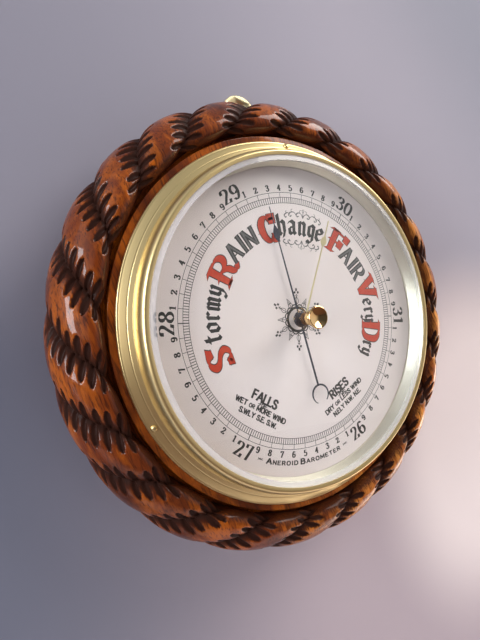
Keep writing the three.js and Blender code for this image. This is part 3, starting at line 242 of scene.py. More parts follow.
@dataclass(frozen=True)
class VarnishedOak(Finish):
    """Glossy orange-brown oak with dark pores, darker where the carving attribute is high: painted shade in the
    grooves and beside the turned band, dark staining and painted shade in the cuts.

    Towards the right and the foot it is painted paler and more golden, as painted sunlight.
    """

    light: Colour = linear(164, 82, 18)
    middle: Colour = linear(112, 48, 12)
    dark: Colour = linear(52, 22, 11)
    # Painted shade of the grooves, cuts and the hollow by the band, in two tones; in the cuts the darker tone is
    # also dark staining.
    shadow: Colour = linear(58, 25, 14)
    stain: Colour = linear(46, 24, 17)
    # Painted sunlight: paler, more golden tones towards the right and the foot.
    faded_light: Colour = linear(232, 154, 72)
    faded_middle: Colour = linear(182, 100, 40)
    grain_turn: float = 0.35
    band_grain: tuple = (60, 60, 9)
    band_noise: tuple = (1, 5, 0.6, 0.8)
    band_span: tuple = (0.42, 0.56)
    pore_grain: tuple = (900, 900, 90)
    pore_noise: tuple = (1, 3, 0.6)
    pore_span: tuple = (0.5, 0.66, 0, 0.7)
    cloud_noise: tuple = (26, 4, 0.6, 0.6)
    cloud_span: tuple = (0.46, 0.66, 0, 0.75)
    fade_drop: float = -0.3
    fade_span: tuple = (0, 0.14)
    ragged_span: tuple = (0.3, 0.7, -0.14, 0.14)
    shadow_span: tuple = (0.06, 0.45, 0, 0.9)
    stain_span: tuple = (0.5, 0.85, 0, 0.95)
    rough_span: tuple = (0.3, 0.7, 0.34, 0.46)
    cut_rough_span: tuple = (0.1, 0.8, 0, 0.16)
    wave_noise: tuple = (130, 3, 0.5)
    wave_share: float = 0.8
    relief_bump: tuple = (0.4, 0.55)
    coat_span: tuple = (0.15, 0.6, 0.6, 0.04)
    coat_roughness: float = 0.05
    ior: float = 1.15

    def paint(self, s: NodeSheet) -> None:
        """Bands, clouds and pores with painted sunlight, then the painted shade of the carving, in the cuts also
        dark staining.
        """
        across, _, height = s.apart(s.where())
        board = s.mapped(s.where(), (1, 1, 1), self.grain_turn)
        bands = s.noise(s.mapped(board, self.band_grain), *self.band_noise)
        pores = s.noise(s.mapped(board, self.pore_grain), *self.pore_noise)
        # Painted sunlight: the light and middle tones turn golden towards the right and the foot.
        painted_sun_share = s.ease(s.sums("ADD", across, s.sums("MULTIPLY", height, self.fade_drop)), *self.fade_span)
        light = s.blend(painted_sun_share, self.light, self.faded_light)
        middle = s.blend(painted_sun_share, self.middle, self.faded_middle)
        tone = s.blend(s.span(bands, *self.band_span), light, middle)
        tone = s.blend(s.span(s.noise(board, *self.cloud_noise), *self.cloud_span), tone, self.dark)
        tone = s.blend(s.span(pores, *self.pore_span), tone, self.dark)
        carved = s.node("Attribute", attribute_name="carving").outputs["Fac"]
        ragged = s.sums("ADD", carved, s.span(pores, *self.ragged_span))
        # Painted shade: grooves, cuts and the hollow by the band darken to a shadow brown, then to near-black, which
        # in the cuts is also dark staining.
        tone = s.blend(s.span(ragged, *self.shadow_span), tone, self.shadow)
        tone = s.blend(s.span(ragged, *self.stain_span), tone, self.stain)
        rough = s.sums("ADD", s.span(bands, *self.rough_span), s.span(carved, *self.cut_rough_span))
        relief = s.sums("ADD", s.sums("MULTIPLY", s.noise(board, *self.wave_noise), self.wave_share),
                        s.sums("MULTIPLY", pores, 1 - self.wave_share))
        s.surface(Base_Color=tone, Roughness=rough, Normal=s.bump(relief, *self.relief_bump),
                  Coat_Weight=s.span(carved, *self.coat_span), Coat_Roughness=self.coat_roughness, IOR=self.ior)


@dataclass(frozen=True)
class PlainOak(Finish):
    """Stained back board with straight grain and a dull sheen."""

    light: Colour = linear(134, 88, 52)
    dark: Colour = linear(82, 50, 30)
    band_grain: tuple = (95, 95, 7)
    band_noise: tuple = (1, 5, 0.6, 0.6)
    band_span: tuple = (0.35, 0.66)
    pore_grain: tuple = (1500, 1500, 130)
    pore_noise: tuple = (1, 2, 0.5)
    pore_span: tuple = (0.56, 0.68, 0, 0.55)
    rough_span: tuple = (0.3, 0.7, 0.5, 0.68)
    pore_bump: tuple = (0.25, 0.7)

    def paint(self, s: NodeSheet) -> None:
        """Bands and pores."""
        bands = s.noise(s.mapped(s.where(), self.band_grain), *self.band_noise)
        pores = s.noise(s.mapped(s.where(), self.pore_grain), *self.pore_noise)
        tone = s.blend(s.span(bands, *self.band_span), self.light, self.dark)
        tone = s.blend(s.span(pores, *self.pore_span), tone, self.dark)
        s.surface(Base_Color=tone, Roughness=s.span(bands, *self.rough_span),
                  Normal=s.bump(pores, *self.pore_bump))


@dataclass(frozen=True)
class TurnedMetal(Finish):
    """Metal with faint turning lines, spots of tarnish and a colour that drifts a little."""

    light: Colour
    deep: Colour
    roughness: float
    line_depth: float = 0.02
    tarnish: float = 0.25
    line_scale: float = 4200
    line_noise: tuple = (1, 2, 0.5)
    line_strength: float = 0.35
    cloud_noise: tuple = (36, 4, 0.6)
    cloud_span: tuple = (0.4, 0.72, 0)
    spot_noise: tuple = (420, 2, 0.5)
    spot_span: tuple = (0.66, 0.74, 0)
    rough_span: tuple = (0.35, 0.7)
    rough_growth: float = 1.7

    def paint(self, s: NodeSheet) -> None:
        """Turning lines round the dial's axis, clouds and spots."""
        across, level, height = s.apart(s.where())
        radius = s.sums("SQRT", s.sums("ADD", *(s.sums("MULTIPLY", part, part) for part in (across, height))))
        fine = [s.sums("MULTIPLY", part, self.line_scale) for part in (radius, level)]
        lines = s.noise(s.node("CombineXYZ", {0: fine[0], 1: fine[1]}).outputs[0], *self.line_noise)
        cloud = s.noise(s.where(), *self.cloud_noise)
        spots = s.noise(s.where(), *self.spot_noise)
        tone = s.blend(s.span(cloud, *self.cloud_span, self.tarnish), self.light, self.deep)
        tone = s.blend(s.span(spots, *self.spot_span, self.tarnish), tone, self.deep)
        rough = s.span(cloud, *self.rough_span, self.roughness, self.roughness * self.rough_growth)
        s.surface(Base_Color=tone, Metallic=1.0, Roughness=rough,
                  Normal=s.bump(lines, self.line_depth, self.line_strength))


@dataclass(frozen=True)
class DialEnamel(Finish):
    """Warm white dial face, faintly mottled with age."""

    face: Colour = linear(238, 224, 226)
    aged: Colour = linear(228, 210, 206)
    cloud_noise: tuple = (14, 3, 0.55)
    cloud_span: tuple = (0.42, 0.75, 0, 0.5)
    speck_noise: tuple = (900, 2, 0.5)
    speck_span: tuple = (0.7, 0.76, 0, 0.25)
    rough_span: tuple = (0.3, 0.7, 0.34, 0.46)
    ripple_noise: tuple = (260, 2, 0.5)
    ripple_bump: tuple = (0.02, 0.4)

    def paint(self, s: NodeSheet) -> None:
        """Clouds, specks and a faint ripple."""
        cloud = s.noise(s.where(), *self.cloud_noise)
        tone = s.blend(s.span(cloud, *self.cloud_span), self.face, self.aged)
        tone = s.blend(s.span(s.noise(s.where(), *self.speck_noise), *self.speck_span), tone, self.aged)
        s.surface(Base_Color=tone, Roughness=s.span(cloud, *self.rough_span),
                  Normal=s.bump(s.noise(s.where(), *self.ripple_noise), *self.ripple_bump))


@dataclass(frozen=True)
class PrintedInk(Finish):
    """Ink with a slightly uneven density."""

    colour: Colour = linear(44, 40, 42)
    worn: Colour = linear(92, 86, 86)
    wear_noise: tuple = (340, 3, 0.6)
    wear_span: tuple = (0.5, 0.8, 0, 0.6)
    rough_span: tuple = (0.3, 0.7, 0.42, 0.58)

    def paint(self, s: NodeSheet) -> None:
        """The ink and its wear."""
        wear = s.noise(s.where(), *self.wear_noise)
        s.surface(Base_Color=s.blend(s.span(wear, *self.wear_span), self.colour, self.worn),
                  Roughness=s.span(wear, *self.rough_span))


@dataclass(frozen=True)
class ClearGlass(Finish):
    """Plate glass that bends sight and lets lamp light through, a little milky on its bevel."""

    tint: Colour = linear(252, 254, 253)
    shade: Colour = linear(248, 251, 249)
    milk: Colour = linear(240, 238, 242)
    milk_span: tuple = (0.0981, 0.0984, 0, 0.28)
    dust_noise: tuple = (260, 3, 0.6)
    dust_span: tuple = (0.55, 0.85, 0, 0.03)
    ior: float = 1.47

    def paint(self, s: NodeSheet) -> None:
        """Glass with some milk outside the bevel's inner edge, and clear to the lamps' rays."""
        dust = s.noise(s.where(), *self.dust_noise)
        body = s.surface(Base_Color=self.tint, Roughness=s.span(dust, *self.dust_span),
                         Transmission_Weight=1.0, IOR=self.ior)
        milky = s.span(s.length(s.mapped(s.where(), (1, 0, 1))), *self.milk_span)
        body = s.mixed(milky, body, s.node("BsdfDiffuse", {"Color": self.milk}).outputs[0])
        lamp = s.node("LightPath").outputs["Is Shadow Ray"]
        s.show(s.mixed(lamp, body, s.node("BsdfTransparent", {"Color": self.shade}).outputs[0]))


@dataclass(frozen=True)
class Hide(Finish):
    """Plain brown leather."""

    light: Colour = linear(112, 74, 48)
    dark: Colour = linear(58, 36, 24)
    cell_scale: float = 1400
    tone_span: tuple = (0.1, 0.6)
    rough_span: tuple = (0, 0.6, 0.62, 0.8)
    cell_bump: tuple = (0.12, 0.7)

    def paint(self, s: NodeSheet) -> None:
        """Fine cells."""
        cells = s.node("TexVoronoi", {"Vector": s.where(), "Scale": self.cell_scale}).outputs["Distance"]
        s.surface(Base_Color=s.blend(s.span(cells, *self.tone_span), self.dark, self.light),
                  Roughness=s.span(cells, *self.rough_span), Normal=s.bump(cells, *self.cell_bump))


OAK = VarnishedOak("varnished_oak", Slot.OAK)
OAK_BACK = PlainOak("stained_back_oak", Slot.OAK_BACK)
KNOB_BRASS = TurnedMetal("knob_brass", Slot.POLISHED_BRASS, linear(232, 196, 140), linear(170, 124, 70), 0.06)
STEEL = TurnedMetal("bright_steel", Slot.STEEL, linear(186, 186, 190), linear(140, 138, 138), 0.32, 0.04)
POLISHED_BRASS, PALE_BRASS, SILVERED, MOVEMENT_BRASS, BLUED_STEEL, NICKEL_SILVER = (
    PackedFinish(slot.value, slot) for slot in (Slot.POLISHED_BRASS, Slot.PALE_BRASS, Slot.SILVERED_BRASS,
                                                Slot.MOVEMENT_BRASS, Slot.BLUED_STEEL, Slot.NICKEL_SILVER))
DIAL_WHITE = DialEnamel("dial_enamel", Slot.DIAL_WHITE)
BLACK_INK = PrintedInk("black_ink", Slot.DIAL_WHITE)
GREY_INK = PrintedInk("grey_ink", Slot.DIAL_WHITE, linear(96, 92, 94), linear(140, 134, 134))
RED_INK = PrintedInk("red_ink", Slot.DIAL_WHITE, linear(196, 56, 28), linear(206, 92, 62))
GLASS = ClearGlass("bevelled_glass", Slot.GLASS)
LEATHER = Hide("washer_leather", Slot.LEATHER)


def new_object(name: str, vertices: np.ndarray, faces: list | np.ndarray, smooth_degrees: float) -> Piece:
    """Puts arrays into a mesh object in the scene.

    Args:
        name: Name of the piece.
        vertices: Places in millimetres, one row each.
        faces: Vertex numbers of each face.
        smooth_degrees: Edges that bend more than this stay sharp.

    Returns:
        The object, at the origin.
    """
    mesh = bpy.data.meshes.new(name)
    rows = faces if isinstance(faces, list) else faces.tolist()
    mesh.from_pydata((np.asarray(vertices, float) * MM).tolist(), [], rows)
    mesh.polygons.foreach_set("use_smooth", np.ones(len(mesh.polygons), bool))
    mesh.set_sharp_from_angle(angle=math.radians(smooth_degrees))
    mesh.update()
    piece = bpy.data.objects.new(name, mesh)
    bpy.context.scene.collection.objects.link(piece)
    return piece


def outward(vertices: np.ndarray, faces: np.ndarray) -> np.ndarray:
    """Turns a closed surface's faces outwards.

    The signed volume is the sum over triangles of a dot (b cross c); a negative one means that the
    faces point in.

    Args:
        vertices: Places, one row each.
        faces: Quads or triangles, one row each.

    Returns:
        The faces, reversed where the volume came out negative.
    """
    first, *rest = (vertices[faces[:, i]] for i in range(faces.shape[1]))
    volume = sum(np.einsum("ij,ij->i", first, np.cross(b, c)).sum() for b, c in zip(rest, rest[1:]))
    return faces if volume > 0 else faces[:, ::-1]


def wrapped_grid(rows: int, columns: int) -> np.ndarray:
    """Quads of a grid that closes on itself both ways.

    Args:
        rows: Count of rows.
        columns: Count of columns.

    Returns:
        Four vertex numbers per quad.
    """
    row, column = np.mgrid[0:rows, 0:columns]
    below = (row + 1) % rows
    beside = (column + 1) % columns
    corners = [row * columns + column, row * columns + beside,
               below * columns + beside, below * columns + column]
    return np.stack(corners, -1).reshape(-1, 4)


def around_dial(radius: np.ndarray, forward: np.ndarray, angle: np.ndarray) -> np.ndarray:
    """Places from a radius, a forward distance and a clockwise angle: (r sin a, -forward, r cos a)."""
    radius, forward, angle = np.broadcast_arrays(radius, forward, angle)
    return np.stack([radius * np.sin(angle), -forward, radius * np.cos(angle)], -1)


def full_circle(steps: int) -> np.ndarray:
    """Angles round a circle in radians, without the last one that closes it."""
    return np.linspace(0, 2 * np.pi, steps, endpoint=False)


def disc(radius: float, steps: int) -> np.ndarray:
    """A round outline in the dial plane, clockwise from the top."""
    angle = full_circle(steps)
    return np.column_stack([np.sin(angle), np.cos(angle)]) * radius


def arc(centre: Point, radii: Point, start: float, end: float, steps: int) -> np.ndarray:
    """Points centre + (a cos t, b sin t) with t from start to end in degrees, both ends included."""
    t = np.radians(np.linspace(start, end, steps + 1))
    return np.column_stack([centre[0] + radii[0] * np.cos(t), centre[1] + radii[1] * np.sin(t)])


def swung(points: np.ndarray, degrees: float | np.ndarray) -> np.ndarray:
    """Turns points of (across, along) to a clockwise angle on the dial."""
    angle = np.radians(degrees)
    across, along = points[..., 0], points[..., 1]
    return np.stack([along * np.sin(angle) + across * np.cos(angle),
                     along * np.cos(angle) - across * np.sin(angle)], -1)


def rounded(outline: list, radius: float, steps: int = 4) -> np.ndarray:
    """Rounds each corner of a closed outline with a short parabola.

    At each corner the curve runs from a point `radius` before it to a point `radius` after it, both
    held to CORNER_SHARE of their side, as (1-t)^2 a + 2t(1-t) corner + t^2 b.

    Args:
        outline: Corners in order.
        radius: Distance that each round takes from its corner.
        steps: Spans in each round.

    Returns:
        The rounded outline, one point per row.
    """
    corner = np.asarray(outline, float)
    before = np.roll(corner, 1, 0) - corner
    after = np.roll(corner, -1, 0) - corner
    reach = [np.minimum(radius / np.linalg.norm(side, axis=1), CORNER_SHARE)[:, None] * side
             for side in (before, after)]
    t = np.linspace(0, 1, steps + 1)[None, :, None]
    start = (corner + reach[0])[:, None]
    end = (corner + reach[1])[:, None]
    curve = (1 - t) ** 2 * start + 2 * t * (1 - t) * corner[:, None] + t ** 2 * end
    return curve.reshape(-1, 2)


def turned(name: str, outline: np.ndarray | list, segments: int, smooth_degrees: float = 35) -> Piece:
    """Turns a closed outline of (radius, forward) about the dial's axis.

    Args:
        name: Name of the piece.
        outline: The section, with no point on the axis.
        segments: Steps round the axis.
        smooth_degrees: Edges that bend more than this stay sharp.

    Returns:
        The turned ring.
    """
    section = np.asarray(outline, float)
    angle = full_circle(segments)
    places = around_dial(section[None, :, 0], section[None, :, 1], angle[:, None]).reshape(-1, 3)
    return new_object(name, places, outward(places, wrapped_grid(segments, len(section))), smooth_degrees)


def spun(name: str, outline: np.ndarray | list, segments: int, smooth_degrees: float = 40,
         centre: Point = (0, 0)) -> Piece:
    """Turns an outline that starts and ends on the axis into a closed solid.

    Args:
        name: Name of the piece.
        outline: (radius, forward) from pole to pole; the two ends have radius 0.
        segments: Steps round the axis.
        smooth_degrees: Edges that bend more than this stay sharp.
        centre: X and Z of the axis.

    Returns:
        The solid.
    """
    section = np.asarray(outline, float)
    inner = section[1:-1]
    angle = full_circle(segments)
    places = around_dial(inner[None, :, 0], inner[None, :, 1], angle[:, None]).reshape(-1, 3)
    poles = np.array([[0, -section[0, 1], 0], [0, -section[-1, 1], 0]])
    places = np.vstack([places, poles]) + np.array([centre[0], 0, centre[1]])
    count = len(inner)
    near = np.arange(segments) * count
    far = np.roll(near, -1)
    row = np.arange(count - 1)
    left, right = near[:, None] + row, far[:, None] + row
    quads = np.stack([left, right, right + 1, left + 1], -1)
    first = np.stack([np.full(segments, len(places) - 2), far, near], 1)
    last = np.stack([np.full(segments, len(places) - 1), near + count - 1, far + count - 1], 1)
    if section[0, 1] < section[-1, 1]:
        quads, first, last = quads[..., ::-1], first[:, ::-1], last[:, ::-1]
    faces = [*quads.reshape(-1, 4).tolist(), *first.tolist(), *last.tolist()]
    return new_object(name, places, faces, smooth_degrees)


def slab(name: str, outline: np.ndarray, back: float, front: float, edge: float = 0) -> Piece:
    """A flat plate with a closed outline in the dial plane.

    Args:
        name: Name of the piece.
        outline: (x, z) corners in order.
        back: Forward distance of its back face.
        front: Forward distance of its front face.
        edge: Width of the chamfer round it.

    Returns:
        The plate.
    """
    count = len(outline)
    area = np.sum(outline[:, 0] * np.roll(outline[:, 1], -1) - np.roll(outline[:, 0], -1) * outline[:, 1])
    loop = outline if area > 0 else outline[::-1]
    layers = [np.column_stack([loop[:, 0], np.full(count, -level), loop[:, 1]]) for level in (back, front)]
    near = np.arange(count)
    far = (near + 1) % count
    sides = np.stack([near, far, far + count, near + count], 1)
    faces = [near[::-1].tolist(), (near + count).tolist(), *sides.tolist()]
    piece = new_object(name, np.vstack(layers), faces, 30)
    if edge:
        bevel = piece.modifiers.new("edge", "BEVEL")
        bevel.width = edge * MM
        bevel.segments = 2
        bevel.limit_method = "ANGLE"
    return piece


def bar(radius: float, back: float, front: float, centre: Point, sides: int = 48) -> Piece:
    """A round bar square to the wall, for cutting."""
    return slab("bar", disc(radius, sides) + centre, back, front)


def settle(piece: Piece) -> None:
    """Applies a piece's modifiers to its mesh."""
    bpy.context.view_layer.update()
    shown = piece.evaluated_get(bpy.context.evaluated_depsgraph_get())
    mesh = bpy.data.meshes.new_from_object(shown)
    piece.modifiers.clear()
    piece.data = mesh


def joined(name: str, parts: list[Piece]) -> Piece:
    """Joins pieces into one object, with their modifiers applied.

    Args:
        name: Name of the result.
        parts: Pieces to join.

    Returns:
        The joined object.
    """
    for part in parts:
        settle(part)
    with bpy.context.temp_override(active_object=parts[0], selected_editable_objects=parts):
        bpy.ops.object.join()
    parts[0].name = name
    parts[0].data.name = name
    return parts[0]


def carve_away(piece: Piece, tool: Piece) -> None:
    """Cuts one closed piece out of another and removes the cutter."""
    cut = piece.modifiers.new("cut", "BOOLEAN")
    cut.operation = "DIFFERENCE"
    cut.solver = "EXACT"
    cut.object = tool
    settle(piece)
    bpy.data.objects.remove(tool)


def dress(piece: Piece, finish: Finish, body: Body, *nodes: str) -> Piece:
    """Gives a piece its finish, the body it rides on and the frame nodes it stands for.

    Args:
        piece: The finished piece.
        finish: Its finish.
        body: The body that carries it.
        nodes: Frame nodes that it replaces.

    Returns:
        The same piece.
    """
    piece.data.materials.clear()
    piece.data.materials.append(finish.material())
    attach(piece, body.value)
    if nodes:
        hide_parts(*nodes)
    LOG.info("%s: %d faces", piece.name, len(piece.data.polygons))
    return piece


class Reading(Enum):
    """Which way the tops of letters point on the dial."""

    OUTWARD = 1
    INWARD = -1


@dataclass(frozen=True)
class Pen:
    """A flat nib.

    Attributes:
        broad: Length of the nib as a share of the letter's height.
        slant: Angle of the nib in degrees from the line of writing.
        thin: Least thickness of a stroke as a share of the height.
        serif: Length of the serifs as a share of the height.
        gap: Space between letters as a share of the height.
        wide: Stretch of the letters along the line.
    """

    broad: float
    slant: float = 0
    thin: float = 0.06
    serif: float = 0
    gap: float = 0.2
    wide: float = 1


class Hand(Enum):
    """Letter shapes: stroke points on a height of 1, with ~ for a curve through its points."""

    CAPITALS = {
        "A": "0,0 .36,1 .72,0|.13,.34 .59,.34",
        "B": "0,0 0,1|~0,1 .38,1 .52,.77 .38,.54 0,.54|~0,.54 .42,.54 .6,.28 .42,0 0,0",
        "D": "0,0 0,1|~0,1 .34,1 .6,.8 .64,.5 .6,.2 .34,0 0,0",
        "E": "0,0 0,1|0,1 .5,1|0,.52 .42,.52|0,0 .52,0",
        "F": "0,0 0,1|0,1 .5,1|0,.52 .4,.52",
        "I": ".08,0 .08,1",
        "L": "0,1 0,0|0,0 .48,0",
        "M": "0,0 0,1 .38,.2 .76,1 .76,0",
        "N": "0,0 0,1 .58,0 .58,1",
        "O": "~.34,1 .1,.9 0,.5 .1,.1 .34,0 .58,.1 .68,.5 .58,.9 .34,1",
        "R": "0,0 0,1|~0,1 .38,1 .54,.75 .38,.5 0,.5|.26,.5 .58,0",
        "S": "~.54,.82 .4,.98 .16,.97 .04,.78 .14,.58 .42,.46 .55,.24 .42,.03 .14,.02 0,.2",
        "T": "0,1 .64,1|.32,1 .32,0",
        "W": "0,1 .24,0 .46,.9 .68,0 .92,1",
        "Y": "0,1 .32,.5 .64,1|.32,.5 .32,0",
        ".": "0,0 0,.1",
        "-": "0,.45 .36,.45",
    }
    BLACKLETTER = {
        "a": ".05,.85 .3,1 .52,.85 .52,.15 .66,.02|.52,.6 .14,.45 .14,.12 .3,0 .52,.15",
        "e": ".1,.2 .1,.8 .34,1 .56,.8 .5,.6 .12,.5|.1,.2 .32,0 .54,.14",
        "g": ".12,.85 .12,.25 .3,.08 .52,.2|.12,.85 .3,1 .52,.88 .52,-.2 .3,-.45 .02,-.3",
        "h": ".12,1.5 .12,.1 .24,0|.12,.8 .38,1 .56,.85 .56,.2 .4,-.2",
        "m": "0,.9 .12,1 .12,.1 .22,0|.12,.85 .3,1 .44,.88 .44,.1 .54,0|.44,.85 .62,1 .76,.88 .76,.12 .88,0",
        "n": "0,.9 .12,1 .12,.1 .22,0|.12,.85 .36,1 .52,.85 .52,.12 .64,0",
        "o": ".1,.2 .1,.82 .32,1 .56,.82 .56,.2 .34,0 .1,.2",
        "r": "0,.9 .12,1 .12,.1 .24,0|.12,.8 .3,1 .46,.88",
        "t": ".2,1.35 .2,.15 .34,0 .48,.1|.02,1 .44,1",
        "y": "0,.9 .12,1 .12,.25 .3,.1 .52,.2|.42,1 .52,.9 .52,-.1 .3,-.45 .04,-.35",
    }
    FIGURES = {
        "0": "~.28,1 .08,.85 .02,.5 .08,.15 .28,0 .48,.15 .54,.5 .48,.85 .28,1",
        "1": ".06,.82 .25,1 .25,0|.06,0 .44,0",
        "2": "~.06,.74 .1,.94 .28,1 .48,.9 .48,.68 .3,.42 .04,.04|.04,.05 .5,.05|.5,.02 .56,.24",
        "3": "~.06,.8 .16,.96 .34,1 .48,.84 .42,.64 .24,.54|~.24,.54 .46,.46 .54,.26 .42,.04 .2,0 .04,.18",
        "4": ".4,0 .4,1 .02,.3 .58,.3|.26,0 .54,0",
        "5": ".48,1 .12,1 .08,.54|~.08,.54 .28,.64 .5,.52 .54,.3 .42,.06 .2,0 .04,.16",
        "6": "~.46,.86 .3,1 .12,.84 .03,.45 .08,.14 .28,0 .48,.12 .54,.34 .44,.55 .26,.58 .08,.42",
        "7": ".04,.78 .06,1 .54,1 .24,0",
        "8": "~.28,1 .1,.9 .1,.68 .28,.54 .48,.4 .52,.16 .28,0 .04,.16 .08,.4 .28,.54 .46,.68 .46,.9 .28,1",
        "9": "~.1,.14 .26,0 .44,.14 .54,.5 .48,.86 .28,1 .08,.88 .02,.66 .12,.46 .3,.42 .48,.56",
    }
    INITIALS = {
        "C": ("~.7,.76 .52,.96 .26,.94 .06,.7 .06,.3 .26,.06 .52,.04 .72,.22"
              "|.7,1.02 .7,.7|.72,-.02 .72,.28|-.08,.5 .08,.5"),
        "D": ("0,0 0,1|~0,.96 .36,.96 .6,.8 .66,.5 .6,.2 .36,.04 0,.04"
              "|-.18,.98 .1,.98|-.18,.02 .1,.02|-.15,.5 0,.5"),
        "F": ("0,0 0,1|0,.96 .52,.96|0,.5 .36,.5|.54,1.04 .54,.78|.38,.64 .38,.36"
              "|-.18,.98 .1,.98|-.18,.02 .2,.02|-.15,.5 0,.5"),
        "R": ("0,0 0,1|~0,.96 .4,.96 .54,.74 .4,.52 0,.52|~.24,.52 .42,.34 .5,.1 .64,.02 .76,.14"
              "|-.18,.98 .1,.98|-.18,.02 .18,.02|-.15,.5 0,.5"),
        "S": ("~.62,.78 .5,.96 .24,.98 .06,.8 .14,.6 .48,.42 .62,.22 .46,.03 .18,.04 .02,.2"
              "|.6,.8 .68,.98|.04,.2 -.04,.02"),
        "V": "0,1 .32,.02 .64,1|-.18,.98 .18,.98|.46,.98 .82,.98|.02,.58 .28,.58",
    }


SCROLL = ("~0,0 .12,.22 .34,.3 .52,.16 .46,.02 .34,.08|~.5,.12 .7,.3 .98,.26 1.08,.08 .98,0 .9,.08"
          "|~1.02,.18 1.2,.24 1.42,.1 1.36,-.06 1.28,0|~.2,.26 .26,.42 .14,.5|~.82,.3 .9,.42 .8,.5"
          "|~1.2,.22 1.3,.3 1.24,.38|~0,0 0,.3 .06,.46 0,.56 -.06,.46 0,.3")
MAIN_RAY = ("0,.86 0,1.62|~0,.95 -.14,1.16 0,1.48|~0,.95 .14,1.16 0,1.48|0,1.86 0,1.94"
            "|-.13,1.7 -.12,1.74|.13,1.7 .12,1.74|~-.08,1.5 0,1.58 .08,1.5")
MINOR_RAY = "-.2,.9 0,1.5 .2,.9|0,.9 0,1.3|~-.1,1.1 0,1.18 .1,1.1"
SCALLOP = "~-.2,.76 -.14,.9 0,.95 .14,.9 .2,.76"
KNOB_SIDE = "1,0 1,.1|~1,.1 .86,.24 .8,.36 .9,.5 1.16,.64 1.4,.76 1.54,.86 1.56,.92 1.5,.98|1.5,.98 1.42,1"


def stroke_paths(shape: str, fineness: int) -> list[np.ndarray]:
    """Reads the strokes of one letter.

    A curve goes through its points p: between p1 and p2 it is half of
    2p1 + (p2-p0)t + (2p0-5p1+4p2-p3)t^2 + (3p1-p0-3p2+p3)t^3.

    Args:
        shape: Strokes split by bars, their points by spaces and a point's two values by a comma.
        fineness: Spans between two points of a curve.

    Returns:
        One array of points per stroke.
    """
    paths = []
    for stroke in shape.split("|"):
        points = np.array([[float(value) for value in pair.split(",")] for pair in stroke.strip("~").split()])
        if stroke.startswith("~"):
            closed = np.allclose(points[0], points[-1])
            before = points[-2] if closed else 2 * points[0] - points[1]
            after = points[1] if closed else 2 * points[-1] - points[-2]
            ring = np.vstack([before, points, after])
            p0, p1, p2, p3 = (ring[i:len(ring) - 3 + i, None] for i in range(4))
            t = np.linspace(0, 1, fineness, endpoint=False)[None, :, None]
            bend = (2 * p0 - 5 * p1 + 4 * p2 - p3) * t ** 2 + (3 * p1 - p0 - 3 * p2 + p3) * t ** 3
            curve = 2 * p1 + (p2 - p0) * t + bend
            points = np.vstack([curve.reshape(-1, 2) / 2, points[-1]])
        paths.append(points)
    return paths


def nib_marks(path: np.ndarray, pen: Pen, height: float) -> np.ndarray:
    """The four-sided marks that a nib leaves along a path.

    Each span gives the corners a+h, b+h, b-h, a-h, where h is half the nib plus half the least
    thickness square to the span, and a and b lie NIB_OVERLAP of that thickness beyond its ends.

    Args:
        path: Points of the stroke in millimetres.
        pen: The nib.
        height: Letter height in millimetres.

    Returns:
        Corners as an array of spans by four by two.
    """
    start, end = path[:-1], path[1:]
    along = (end - start) / np.maximum(np.linalg.norm(end - start, axis=1), 1e-6)[:, None]
    square = np.stack([-along[:, 1], along[:, 0]], 1)
    slant = math.radians(pen.slant)
    nib = np.array([math.cos(slant), math.sin(slant)]) * pen.broad * height / 2
    side = np.where(square @ nib < 0, -1.0, 1.0)[:, None]
    half = nib + side * square * pen.thin * height / 2
    spare = along * pen.thin * height * NIB_OVERLAP
    return np.stack([start - spare + half, end + spare + half, end + spare - half, start - spare - half], 1)


